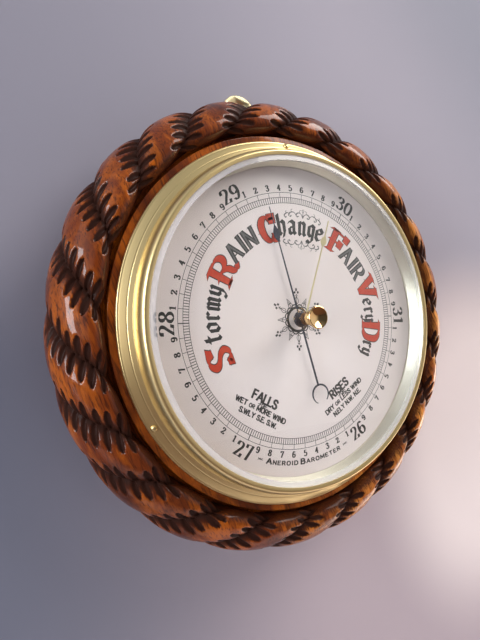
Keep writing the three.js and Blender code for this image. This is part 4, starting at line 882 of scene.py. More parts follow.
class Ink:
    """Collects the marks of one ink and makes them a film of closed prisms on the dial.

    Attributes:
        WORD_SPACE: Space between words as a share of the letters' height.
        SMALL_CAPITAL: Height of small capitals as a share of that height.
        STEEP: Least slope of a stroke that gets serifs.
        CURVE_POINTS: Points that make a stroke a curve, which gets none.
        SINK: Depth of the film below the dial's face.
        STEP: Difference in height between two neighbouring marks.
        STEP_COUNT: Number of heights before they start again.
        PRISM: Faces of one mark, its four upper corners first.
    """

    WORD_SPACE = 0.45
    SMALL_CAPITAL = 0.76
    STEEP = 0.6
    CURVE_POINTS = 6
    SINK = 0.02
    STEP = 0.0015
    STEP_COUNT = 5
    PRISM = np.array([[0, 1, 2, 3], [7, 6, 5, 4], [0, 4, 5, 1], [1, 5, 6, 2], [2, 6, 7, 3], [3, 7, 4, 0]])

    def __init__(self, name: str, finish: Finish, face: float, lift: float) -> None:
        """Starts an empty film.

        Args:
            name: Name of the piece.
            finish: Ink.
            face: Forward distance of the dial's face.
            lift: Height of the ink's top above the face.
        """
        self.name = name
        self.finish = finish
        self.face = face
        self.lift = lift
        self.marks: list[np.ndarray] = []

    def write(self, text: str, hand: Hand, pen: Pen, height: float, radius: float, degrees: float,
              reading: Reading = Reading.OUTWARD, straight: bool = False, fineness: int = 3) -> None:
        """Writes a line of letters.

        On an arc a point (u, v) goes to the angle degrees + sign u / radius and the distance
        radius + sign v; a straight line is turned square to the radius at its middle. Lower-case
        letters of a hand that has capitals alone come out as small capitals.

        Args:
            text: The letters.
            hand: Letter shapes.
            pen: Nib.
            height: Letter height.
            radius: Distance of the base line from the dial's centre.
            degrees: Clockwise angle of the middle of the line.
            reading: Which way the tops point.
            straight: True for a straight line.
            fineness: Spans between two points of a curve.
        """
        placed, pens, cursor = [], [], 0.0
        for letter in text:
            if letter == " ":
                cursor += self.WORD_SPACE * height
                continue
            known = letter in hand.value
            size = height if known else height * self.SMALL_CAPITAL
            paths = stroke_paths(hand.value[letter if known else letter.upper()], fineness)
            if pen.serif:
                paths += self.serifs(paths, pen.serif)
            paths = [path * [pen.wide * size, size] for path in paths]
            for path in paths:
                placed.append(path + [cursor, 0])
                pens.append(size)
            ends = [path[:, 0] for path in paths]
            cursor += max(end.max() for end in ends) + min(end.min() for end in ends) + pen.gap * height
        middle = (cursor - pen.gap * height) / 2
        for path, size in zip(placed, pens):
            self.place(nib_marks(path - [middle, 0], pen, size), radius, degrees, reading, straight)

    def serifs(self, paths: list[np.ndarray], length: float) -> list[np.ndarray]:
        """Short bars across the ends of upright strokes that stand on the line or reach the top."""
        bars = []
        for path in paths:
            for end, other in ((path[0], path[1]), (path[-1], path[-2])):
                upright = abs(end[1] - other[1]) > self.STEEP * abs(end[0] - other[0])
                if len(path) < self.CURVE_POINTS and upright and end[1] in (0, 1):
                    bars.append(end + np.array([[-length, 0], [length, 0]]))
        return bars

    def place(self, marks: np.ndarray, radius: float, degrees: float, reading: Reading = Reading.OUTWARD,
              straight: bool = False) -> None:
        """Lays marks on the dial, on an arc or as a straight block.

        Args:
            marks: Corners in line coordinates.
            radius: Distance of the base line from the centre.
            degrees: Clockwise angle of the middle.
            reading: Which way the tops point.
            straight: True for a straight block.
        """
        across = reading.value * marks[..., 0]
        out = radius + reading.value * marks[..., 1]
        if straight:
            self.marks.append(swung(np.stack([across, out], -1), degrees))
        else:
            angle = math.radians(degrees) + across / radius
            self.marks.append(np.stack([out * np.sin(angle), out * np.cos(angle)], -1))

    def ticks(self, degrees: np.ndarray, inner: float, outer: float, width: float) -> None:
        """Draws radial lines at the given angles."""
        half = width / 2
        corners = np.array([(-half, inner), (half, inner), (half, outer), (-half, outer)])
        self.marks.append(swung(corners, degrees[:, None]))

    def ring(self, radius: float, width: float, spans: int = 360) -> None:
        """Draws a circle."""
        edge = np.radians(np.linspace(0, 360, spans + 1))
        angle = np.stack([edge[:-1], edge[1:], edge[1:], edge[:-1]], 1)
        out = radius + width * np.array([-0.5, -0.5, 0.5, 0.5])
        self.marks.append(np.stack([out * np.sin(angle), out * np.cos(angle)], -1))

    def piece(self) -> Piece:
        """Makes the film: each mark becomes a prism, and neighbours differ a little in height."""
        corners = np.concatenate(self.marks)
        first, second = (corners[:, index] - corners[:, 0] for index in (1, 2))
        area = first[:, 0] * second[:, 1] - first[:, 1] * second[:, 0]
        corners = np.where(area[:, None, None] < 0, corners[:, ::-1], corners)
        count = len(corners)
        top = self.face + self.lift - self.STEP * (np.arange(count) % self.STEP_COUNT)
        levels = [np.repeat(top[:, None], 4, 1), np.full((count, 4), self.face - self.SINK)]
        layers = [np.stack([corners[..., 0], -level, corners[..., 1]], -1) for level in levels]
        places = np.concatenate(layers, 1).reshape(-1, 3)
        faces = (np.arange(count)[:, None, None] * 8 + self.PRISM).reshape(-1, 4)
        piece = new_object(self.name, places, outward(places, faces), 20)
        return dress(piece, self.finish, Body.CASE)


@dataclass
class DialPrinting:
    """Scale, figures, weather words and ornament of the dial.

    A turn range is the angles between which a number reads with its top inwards.
    """

    face: float = 60.3
    rings: tuple = (74.6, 78.2, 81.3)
    line_width: float = 0.3
    fine_width: float = 0.4
    fine_step_degrees: float = 1.2
    bold_width: float = 0.55
    inch_degrees: float = 60
    inch_at_thirty_degrees: float = 30
    figure_height: float = 8.8
    figure_radius: float = 83.6
    figure_turn: Point = (120, 240)
    digit_height: float = 3.6
    digit_radius: float = 82.6
    digit_turn: Point = (112, 248)
    ornament_size: float = 10
    ray_count: int = 12
    black: Ink = field(init=False)
    shade: Ink = field(init=False)
    red: Ink = field(init=False)

    def __post_init__(self) -> None:
        """Opens the three inks."""
        self.black = Ink("dial_printing_black", BLACK_INK, self.face, 0.03)
        self.red = Ink("dial_printing_red", RED_INK, self.face, 0.05)
        self.shade = Ink("dial_printing_grey", GREY_INK, self.face, 0.045)

    def number(self, value: int, inches: float, pen: Pen, height: float, radius: float, turn: Point,
               fineness: int) -> None:
        """Writes a number at a reading in inches of mercury.

        Args:
            value: The number.
            inches: The reading.
            pen: Nib.
            height: Letter height.
            radius: Distance of its nearer edge from the dial's centre.
            turn: Turn range.
            fineness: Spans between two points of a curve.
        """
        degrees = (self.inch_at_thirty_degrees + self.inch_degrees * (inches - 30)) % 360
        inward = turn[0] < degrees < turn[1]
        base = radius + (height if inward else 0)
        reading = Reading.INWARD if inward else Reading.OUTWARD
        self.black.write(str(value), Hand.FIGURES, pen, height, base, degrees, reading, fineness=fineness)

    def scale(self) -> None:
        """Rings, ticks and figures, one inch of mercury to each sixth of the circle."""
        for radius in self.rings:
            self.black.ring(radius, self.line_width)
        inner, middle, outer = self.rings
        inch = self.inch_degrees
        for step, first, end, width in ((self.fine_step_degrees, 0, middle, self.fine_width),
                                        (inch / 10, 0, outer, self.line_width),
                                        (inch, 0, middle, self.bold_width),
                                        (inch, inch / 2, outer, self.bold_width)):
            self.black.ticks(np.arange(0, 360, step) + first, inner, end, width)
        large = Pen(0.17, 0, 0.045)
        small = Pen(0.17, 0, 0.11, gap=0.1)
        for inch in range(26, 32):
            self.number(inch, inch, large, self.figure_height, self.figure_radius, self.figure_turn, 5)
            for tenth in range(1, 10):
                self.number(tenth, inch + tenth / 10, small, self.digit_height, self.digit_radius,
                            self.digit_turn, 3)

    def weather(self) -> None:
        """Five weather words round the upper dial, each with a red initial."""
        for letter, height, radius, degrees, wide in (
                ("S", 15.6, 52.3, 249.2, 0.82), ("R", 15.5, 52.0, 301.2, 1.0), ("C", 16.5, 51.5, 341.2, 0.66),
                ("F", 15.5, 54.2, 34.4, 0.95), ("V", 15.5, 55.2, 71.5, 0.85), ("D", 15.5, 54.2, 98.6, 0.76)):
            for ink, broad, thin in ((self.black, 0.175, 0.12), (self.red, 0.145, 0.085)):
                pen = Pen(broad, 0, thin, wide=wide)
                ink.write(letter, Hand.INITIALS, pen, height, radius, degrees, fineness=6)
        for text, height, radius, degrees, wide in (
                ("tormy", 7.6, 55.6, 274.2, 1.04), ("hange", 8.5, 54.8, 6.3, 0.95),
                ("ery", 7.0, 56.4, 85.0, 1.0), ("ry", 7.0, 56.2, 110.6, 1.0)):
            self.black.write(text, Hand.BLACKLETTER, Pen(0.24, 40, 0.07, wide=wide), height, radius, degrees)
        for text, radius, degrees, wide in (("AIN", 54.2, 320.4, 0.85), ("AIR", 55.2, 52.2, 0.82)):
            for ink, broad, thin, serif in ((self.black, 0.16, 0.075, 0.1), (self.shade, 0.07, 0.02, 0)):
                pen = Pen(broad, 0, thin, serif, 0.24, wide)
                ink.write(text, Hand.CAPITALS, pen, 11.6, radius, degrees, fineness=5)

    def hints(self) -> None:
        """Two blocks of plain capitals on what a fall and a rise foretell, and the instrument's kind."""
        bold = Pen(0.06, 0, 0.22)
        light = Pen(0.06, 0, 0.25, gap=0.26, wide=1.1)
        for degrees, lines in ((209.6, ("FALLS", "WET or MORE WIND", "S.WLY S.E. S.W.")),
                               (147.2, ("RISES", "DRY or LESS WIND", "N.ELY N.W. N.E."))):
            looks = ((5.2, 57.7, bold), (2.9, 63.3, light), (2.9, 68.3, light), (1.8, 60.0, light))
            for text, (height, radius, pen) in zip((*lines, "-FOR-"), looks):
                self.black.write(text, Hand.CAPITALS, pen, height, radius, degrees, Reading.INWARD, True)
        kind = Pen(0.12, 0, 0.25, gap=0.46, wide=1.58)
        self.black.write("Aneroid Barometer", Hand.CAPITALS, kind, 3.0, 90.7, 180.4, Reading.INWARD)
        flick = nib_marks(np.array([[-1.6, 0], [0, 0.9], [1.6, 0]]), Pen(0, 0, 0.16), 2.4)
        for degrees in (201.8, 159.0):
            for flip, rise in ((1, 0.6), (-1, 1.6)):
                self.black.place(flick * [1, flip] + [0, rise], 90.2, degrees, Reading.INWARD)

    def ornament(self) -> None:
        """Scrolls above and below the middle word, and the rosette at the centre."""
        size = self.ornament_size
        leaf, hair = Pen(0.05, 30, 0.03), Pen(0, 0, 0.028)
        for base, flip in ((66.0, 1), (51.0, -1)):
            for mirror in (1, -1):
                for index, path in enumerate(stroke_paths(SCROLL, 5)):
                    marks = nib_marks(path * size, leaf if index < 3 else hair, size)
                    self.shade.place(marks * [mirror, flip], base, 7.4)
        step = 360 / self.ray_count
        for index in range(self.ray_count):
            for path in stroke_paths(MINOR_RAY if index % 2 else MAIN_RAY, 4):
                dot = len(path) == 2 and np.ptp(path[:, 1]) < 0.1
                self.engrave(path, 0.13 if dot else 0.035, step * index)
        for index in range(self.ray_count):
            for path in stroke_paths(SCALLOP, 4):
                self.engrave(path, 0.075, step * (index + 0.5))
        self.black.ring(7.5, 1.7, 96)

    def engrave(self, path: np.ndarray, thin: float, degrees: float) -> None:
        """Draws a stroke of the rosette, turned clockwise about the dial's centre."""
        marks = nib_marks(path * self.ornament_size, Pen(0, 0, thin), self.ornament_size)
        self.black.marks.append(swung(marks, degrees))

    def pieces(self) -> None:
        """Prints everything."""
        self.scale()
        self.weather()
        self.hints()
        self.ornament()
        for ink in (self.black, self.red, self.shade):
            ink.piece()


@dataclass
class Hands:
    """Pointer, set hand, boss and setting knob.

    The crescent's least width and the boss's eye are shares of its width and radius.
    """

    pointer_back: float = 62.6
    pointer_front: float = 63.2
    pointer_degrees: float = 345.4
    pointer_length: float = 72.7
    pointer_tail: float = 43.4
    pointer_width: float = 1.2
    pointer_tip: float = 0.4
    leaf_start: float = 50
    leaf_length: float = 12
    leaf_width: float = 4.6
    crescent_outer: float = 6.5
    crescent_inner: float = 5.3
    boss_radius: float = 5.2
    boss_back: float = 63.5
    boss_height: float = 1.8
    set_back: float = 68.0
    set_front: float = 68.7
    set_degrees: float = 20.1
    set_length: float = 66.9
    set_width: float = 1.0
    set_leaf_start: float = 48.6
    set_leaf_length: float = 8.4
    set_leaf_width: float = 4.4
    set_hub: float = 2.6
    arbor_hole: float = 1.05
    knob_base: float = 4.5
    knob_back: float = 75.7
    knob_length: float = 8.4
    knob_bore: float = 2.5
    knob_bore_depth: float = 6.3
    knob_dish: float = 1.9
    leaf_lean: float = 0.85
    leaf_point: float = 1.3
    flat_edge: float = 0.12
    layer_step: float = 0.01
    tail_lap: float = 0.4
    crescent_degrees: float = 145
    crescent_least: float = 0.35
    eye_share: float = 0.8
    boss_wall: float = 0.5

    def blade(self, start: float, length: float, leaf_start: float, leaf_length: float, leaf_width: float,
              width: float, tip: float) -> np.ndarray:
        """Outline of a tapering hand with a pointed leaf.

        The half width is the rod's, from width / 2 to tip / 2, or the leaf's where that is more:
        leaf_width / 2 times sin(pi s^leaf_lean)^leaf_point, with s the share along the leaf.

        Args:
            start: Near end.
            length: Far end.
            leaf_start: Where the leaf begins.
            leaf_length: Length of the leaf.
            leaf_width: Greatest width of the leaf.
            width: Width of the rod at its start.
            tip: Width of the tip.

        Returns:
            Corners as (across, along).
        """
        along = np.concatenate([[start], np.linspace(leaf_start, leaf_start + leaf_length, 24), [length]])
        share = np.clip((along - leaf_start) / leaf_length, 0, 1)
        rod = np.interp(along, [start, length], [width / 2, tip / 2])
        leaf = leaf_width / 2 * np.abs(np.sin(np.pi * share ** self.leaf_lean)) ** self.leaf_point
        half = np.maximum(rod, leaf)
        return np.vstack([np.column_stack([half, along]), np.column_stack([-half, along])[::-1]])

    def flat(self, name: str, shapes: tuple, degrees: float, back: float, front: float) -> Piece:
        """Joins flat shapes into one hand, each a hair lower than the one before.

        Args:
            name: Name of the piece.
            shapes: Outlines as (across, along).
            degrees: Clockwise angle of the hand.
            back: Forward distance of its back.
            front: Forward distance of the first shape's front.

        Returns:
            The hand.
        """
        return joined(name, [
            slab(f"{name}_{index}", swung(shape, degrees), back, front - self.layer_step * index, self.flat_edge)
            for index, shape in enumerate(shapes)])

    def pointer(self) -> Piece:
        """The blued pointer, its tail and its open crescent."""
        blade = self.blade(self.boss_radius * 0.2, self.pointer_length, self.leaf_start, self.leaf_length,
                           self.leaf_width, self.pointer_width, self.pointer_tip)
        half, foot = self.pointer_width / 2, -self.pointer_tail - self.tail_lap
        tail = np.array([(-half, -1), (half, -1), (half, foot), (-half, foot)])
        sweep = np.radians(np.linspace(-self.crescent_degrees, self.crescent_degrees, 49))
        share = self.crescent_least + (1 - self.crescent_least) * np.cos(sweep / 2) ** 2
        width = (self.crescent_outer - self.crescent_inner) * share
        way = np.column_stack([np.sin(sweep), np.cos(sweep)])
        moon = np.vstack([way * self.crescent_outer, (way * (self.crescent_outer - width)[:, None])[::-1]])
        moon -= [0, self.pointer_tail + self.crescent_outer]
        eye = disc(self.boss_radius * self.eye_share, 48)
        return self.flat("pointer_blade", (blade, tail, moon, eye), self.pointer_degrees, self.pointer_back,
                         self.pointer_front)

    def boss(self) -> Piece:
        """Domed boss: a turned ring with an elliptical crown."""
        hole, top = self.arbor_hole, self.boss_back + self.boss_height
        crown = arc((hole, self.boss_back + self.boss_wall),
                    (self.boss_radius - hole, self.boss_height - self.boss_wall), 0, 90, 9)[:-1]
        foot = [(hole, self.boss_back), (self.boss_radius, self.boss_back)]
        return turned("boss_dome", np.vstack([foot, crown, [(hole, top)]]), 48)

    def set_hand(self) -> Piece:
        """Pale brass set hand with its hub."""
        blade = self.blade(0.5, self.set_length, self.set_leaf_start, self.set_leaf_length, self.set_leaf_width,
                           self.set_width, 0.5)
        return self.flat("set_hand_blade", (blade, disc(self.set_hub, 40)), self.set_degrees, self.set_back,
                         self.set_front)

    def knob(self) -> Piece:
        """Turned knob: a collar, a waist and a flared head with a dished face.

        Its side is a smooth curve through shares of the base radius and of the length.

        Returns:
            The knob.
        """
        side = np.vstack(stroke_paths(KNOB_SIDE, 7)) * [self.knob_base, self.knob_length] + [0, self.knob_back]
        share = np.linspace(1, 0, 14)[1:]
        sunk = self.knob_dish * np.sin((1 - share) * np.pi / 2) ** 1.1
        dish = np.column_stack([side[-1, 0] * share, self.knob_back + self.knob_length - sunk])
        floor = self.knob_back + self.knob_bore_depth
        bore = [(0, floor), (self.knob_bore, floor), (self.knob_bore, self.knob_back)]
        return spun("knob_turning", np.vstack([bore, side, dish]), 96, 30)


@dataclass
class RopeCase:
    """Turned oak ring with a rope carved round it.

    A spread is the greatest difference between two cuts: in millimetres for their place, else as a
    share of their length, width or depth.
    """

    band_forward: float = 57
    band_radius: float = 119.2
    quirk_depth: float = 6.5
    quirk_width: float = 1.8
    rebate_radius: float = 106.9
    rebate_forward: float = 47.7
    bore_radius: float = 100
    ledge_forward: float = 12
    cover_rebate_radius: float = 110
    core_radius: float = 126
    strand_count: int = 22
    centre_radius: float = 119.62
    centre_forward: float = 35.9
    section_radius: float = 28.5
    back_depth: float = 40
    shoulder_radius: float = 7
    shoulder_degrees: float = 68
    groove_depth: float = 4.2
    groove_sharpness: float = 2.8
    first_groove_degrees: float = 12.4
    drift_degrees: float = 2.1
    drift_phase_degrees: float = -9
    twist_share: float = 0.95
    columns_per_strand: int = 48
    notch_count: int = 8
    notch_first: float = 5.0
    notch_pitch: float = 5.7
    notch_near_degrees: float = 0.2
    notch_far_degrees: float = 5.4
    notch_half_width: float = 1.9
    notch_depth: float = 1.7
    notch_slant: float = 0.55
    quirk_shade: float = 12
    quirk_shade_share: float = 0.5
    seed: int = 7
    place_spread: float = 1.4
    length_spread: float = 0.25
    width_spread: float = 0.3
    depth_spread: float = 0.3
    cut_shade: float = 3.2
    line_shade_start: float = 0.14
    line_shade_span: float = 0.76

    def section(self) -> tuple[np.ndarray, np.ndarray, int]:
        """The rope's plain section as an arc, a wider arc and part of an ellipse.

        Returns:
            Stations of (radius, forward), their outward normals, and the number of the widest one.
        """
        shoulder = math.radians(self.shoulder_degrees)
        reach = self.section_radius - self.shoulder_radius
        middle = (self.centre_radius, self.centre_forward)
        hub = (middle[0] + reach * math.cos(shoulder), middle[1] + reach * math.sin(shoulder))
        back = math.degrees(math.asin(self.centre_forward / self.back_depth))
        spans = ((hub, (self.shoulder_radius,) * 2, 180, self.shoulder_degrees, 20),
                 (middle, (self.section_radius,) * 2, self.shoulder_degrees, 0, 54),
                 (middle, (self.section_radius, self.back_depth), 0, -back, 13))
        ends = (-1, -1, None)
        stations = np.vstack([arc(*span)[:end] for span, end in zip(spans, ends)])
        facing = np.vstack([arc((0, 0), (1, 1), *span[2:])[:end] for span, end in zip(spans, ends)])
        stations[-1, 1] = facing[-1, 1] = 0
        return stations, facing, spans[0][-1] + spans[1][-1]

    def rope(self) -> Piece:
        """Carves the rope.

        Each strand's depth is groove_depth * |2s - 1|^sharpness, with s its share across from groove
        to groove, plus a gouge's depth. The grooves turn with the distance along the section, and a
        slow sine drifts them. The carving attribute is near 1 in cuts and grooves, and about half of
        that beside the turned band; the oak turns it into painted shade, in the cuts also dark staining.

        Returns:
            The rope as one closed surface, with its carving kept as a point attribute.
        """
        stations, facing, widest = self.section()
        travel = np.concatenate([[0], np.cumsum(np.linalg.norm(np.diff(stations, axis=0), axis=1))])
        pitch = 2 * np.pi / self.strand_count
        columns = self.strand_count * self.columns_per_strand
        across = np.arange(columns) / self.columns_per_strand
        share = across % 1
        plain = math.radians(self.first_groove_degrees) + across * pitch
        along = travel / travel[widest] - 1
        straight = plain[:, None] + self.twist_share * pitch * along[None, :]
        drift = math.radians(self.drift_degrees)
        angle = straight + drift * np.sin(straight - math.radians(self.drift_phase_degrees))
        groove = self.groove_depth * np.abs(2 * share - 1)[:, None] ** self.groove_sharpness
        groove = np.repeat(groove, len(stations), 1)
        gouge = self.gouges(share, across.astype(int), travel, pitch)
        depth = groove + gouge
        radius = stations[None, :, 0] - depth * facing[None, :, 0]
        forward = np.maximum(stations[None, :, 1] - depth * facing[None, :, 1], 0)
        core = np.array([[self.core_radius, 0], [self.core_radius, self.band_forward - 2 * self.quirk_depth]])
        radius = np.hstack([radius, np.repeat(core[None, :, 0], columns, 0)])
        forward = np.hstack([forward, np.repeat(core[None, :, 1], columns, 0)])
        angle = np.hstack([angle, np.repeat(plain[:, None], 2, 1)])
        places = around_dial(radius, forward, angle).reshape(-1, 3)
        faces = outward(places, wrapped_grid(columns, radius.shape[1]))
        piece = new_object("carved_rope", places, faces, 60)
        # Carving values: cuts are dark staining and painted shade; groove lines and the hollow by the band are
        # painted shade.
        cut = np.clip(gouge / self.notch_depth * self.cut_shade, 0, 1)
        line = np.clip((groove / self.groove_depth - self.line_shade_start) / self.line_shade_span, 0, 1)
        quirk = self.quirk_shade_share * np.clip((self.quirk_shade - travel) * 2 / self.quirk_shade, 0, 1)
        stain = np.maximum(np.maximum(cut, line), quirk[None, :])
        layer = piece.data.attributes.new("carving", "FLOAT", "POINT")
        layer.data.foreach_set("value", np.hstack([stain, np.ones((columns, 2))]).astype(np.float32).ravel())
        return piece

    def gouges(self, share: np.ndarray, strand: np.ndarray, travel: np.ndarray, pitch: float) -> np.ndarray:
        """Depth of the leaf-shaped gouge cuts that lie on both sides of each groove.

        With t the share of the way from a cut's near end to its far end and b the distance from its
        slanting middle line, the depth is notch_depth (1 - (b / w)^2) and the half width w is
        notch_half_width sin(pi (0.08 + 0.9 t))^0.55. Each cut's place, length, width and depth differ
        a little, as by hand.

        Args:
            share: Place across the strand at each column, 0 to 1.
            strand: Strand number at each column.
            travel: Distance along the section at each station.
            pitch: Angle between two grooves.

        Returns:
            A grid of columns by stations, 0 outside the cuts.
        """
        spread = np.random.default_rng(self.seed)
        total = np.zeros((len(share), len(travel)))
        degrees = math.degrees(pitch)
        for side in (0, 1):
            offset = (share if side == 0 else 1 - share) * degrees
            jitter = spread.uniform(-0.5, 0.5, (4, self.strand_count, self.notch_count))
            for step in range(self.notch_count):
                place, length, breadth, sink = jitter[:, strand, step]
                middle = self.notch_first + (step + 0.5 * side) * self.notch_pitch + place * self.place_spread
                far = self.notch_far_degrees * (1 + self.length_spread * length)
                t = (offset - self.notch_near_degrees) / (far - self.notch_near_degrees)
                lean = self.notch_slant * offset * (-1 if side == 0 else 1)
                leaf = np.sin(np.pi * np.clip(0.08 + 0.9 * t, 0, 1)) ** 0.55
                width = self.notch_half_width * (1 + self.width_spread * breadth) * leaf + 1e-3
                b = travel[None, :] - (middle + lean)[:, None]
                bowl = np.clip(1 - (b / width[:, None]) ** 2, 0, 1)
                inside = (t > 0) & (t < 1)
                depth = self.notch_depth * (1 + self.depth_spread * sink) * inside
                total = np.maximum(total, depth[:, None] * bowl)
        return total

    def core(self) -> Piece:
        """The turned ring inside the rope: band, bezel rebate, bore and cover rebate."""
        floor = self.band_forward - self.quirk_depth
        rim = self.band_radius + self.quirk_width
        outline = [(self.cover_rebate_radius, 0), (self.core_radius, 0), (self.core_radius, floor),
                   (rim, floor), (self.band_radius, floor + self.quirk_width),
                   (self.band_radius, self.band_forward),
                   (self.rebate_radius, self.band_forward), (self.rebate_radius, self.rebate_forward),
                   (self.bore_radius, self.rebate_forward), (self.bore_radius, self.ledge_forward),
                   (self.cover_rebate_radius, self.ledge_forward)]
        return turned("case_ring", rounded(outline, 0.7), 240)


@dataclass(frozen=True)
class SlottedScrew:
    """Countersunk wood screw driven in from the back."""

    place: Point
    slot_degrees: float
    head: float
    shank: float
    length: float
    back: float = 0.3
    rim: float = 0.3
    slot_width: float = 0.7
    slot_depth: float = 0.8

    def outline(self, spare: float, start: float) -> list[Point]:
        """Section of the screw, or of its seat with some room to spare, from pole to pole."""
        head, shank = self.head + spare, self.shank + spare
        neck = self.back + self.rim + self.head - self.shank
        return [(0, start), (head, start), (head, self.back + self.rim), (shank, neck),
                (shank, self.length + spare), (0, self.length + spare)]

    def seat(self, gap: float) -> Piece:
        """The space that the screw takes from what it holds."""
        return spun("seat", self.outline(gap, -1.0), 40, 30, self.place)

    def body(self, name: str) -> Piece:
        """The screw with its slot cut."""
        piece = spun(name, self.outline(0, self.back), 40, 30, self.place)
        angle = math.radians(self.slot_degrees)
        along = np.array([math.cos(angle), math.sin(angle)]) * (self.head + 1)
        side = np.array([-math.sin(angle), math.cos(angle)]) * self.slot_width / 2
        corners = self.place + np.array([along + side, side - along, -along - side, along - side])
        carve_away(piece, slab("slot", corners, self.back - 1, self.back + self.slot_depth))
        return piece


@dataclass
class Hanger:
    """Brass plate let into the back of the case, with its hole and screws."""

    width: float = 27.8
    thickness: float = 2
    top: float = 173.1
    bottom: float = 112.6
    corner: float = 4
    hole_radius: float = 3.7
    hole_height: float = 163.9
    gap: float = 0.3
    head_radius: float = 2.7
    shank_radius: float = 1.4
    screw_length: float = 15
    screw_margin: float = 4.4
    screw_rise: float = 10.4
    screw_spread: float = 8.4

    def outline(self, spare: float = 0) -> np.ndarray:
        """A tall plate with a round top and small round lower corners."""
        half, corner = self.width / 2 + spare, self.corner + spare
        side, low = half - corner, self.bottom - spare + corner
        return np.vstack([arc((side, low), (corner, corner), -90, 0, 8),
                          arc((0, self.top - self.width / 2), (half, half), 0, 180, 48),
                          arc((-side, low), (corner, corner), 180, 270, 8)])

    def screws(self) -> list[SlottedScrew]:
        """The plate's three screws."""
        low = self.bottom + self.screw_margin
        high = low + self.screw_rise
        places = ((0, low), (-self.screw_spread, high), (self.screw_spread, high))
        return [SlottedScrew(place, 20.0 + 50 * index, self.head_radius, self.shank_radius, self.screw_length)
                for index, place in enumerate(places)]

    def pocket(self) -> Piece:
        """The space that the plate takes from the case."""
        return slab("pocket", self.outline(self.gap), -1, self.thickness + self.gap)

    def plate(self) -> Piece:
        """The plate with its nail hole and three countersinks."""
        piece = slab("hanger_plate_brass", self.outline(), 0, self.thickness, 0.3)
        settle(piece)
        carve_away(piece, bar(self.hole_radius, -1, self.thickness + 1, (0, self.hole_height)))
        for screw in self.screws():
            carve_away(piece, screw.seat(self.gap))
        return piece


@dataclass
class BackCover:
    """Round back board with a chamfered edge, four screws and a hole over the adjusting screw."""

    radius: float = 109.7
    thickness: float = 11.7
    chamfer: float = 0.8
    access_radius: float = 3.8
    access_place: Point = (-40, -17)
    screw_circle: float = 104.9
    screw_count: int = 4
    head_radius: float = 3.6
    shank_radius: float = 1.8
    screw_length: float = 26
    hidden_circle: float = 55
    hidden_radius: float = 1.6
    hidden_back: float = 4
    hidden_count: int = 3
    gap: float = 0.3

    def screws(self) -> list[SlottedScrew]:
        """The board's screws."""
        angles = 2 * np.pi * (np.arange(self.screw_count) + 0.5) / self.screw_count
        places = np.column_stack([np.sin(angles), np.cos(angles)]) * self.screw_circle
        return [SlottedScrew(tuple(place), 35.0 + 70 * index, self.head_radius, self.shank_radius, self.screw_length)
                for index, place in enumerate(places)]

    def board(self) -> Piece:
        """The board with its holes."""
        piece = slab("back_board", disc(self.radius, 240), 0, self.thickness, self.chamfer)
        settle(piece)
        beyond = self.thickness + 1
        tools = [screw.seat(self.gap) for screw in self.screws()]
        tools.append(bar(self.access_radius, -1, beyond, self.access_place))
        for place in disc(self.hidden_circle, self.hidden_count):
            tools.append(bar(self.hidden_radius + self.gap, self.hidden_back - self.gap, beyond, place, 24))
        for tool in tools:
            carve_away(piece, tool)
        return piece


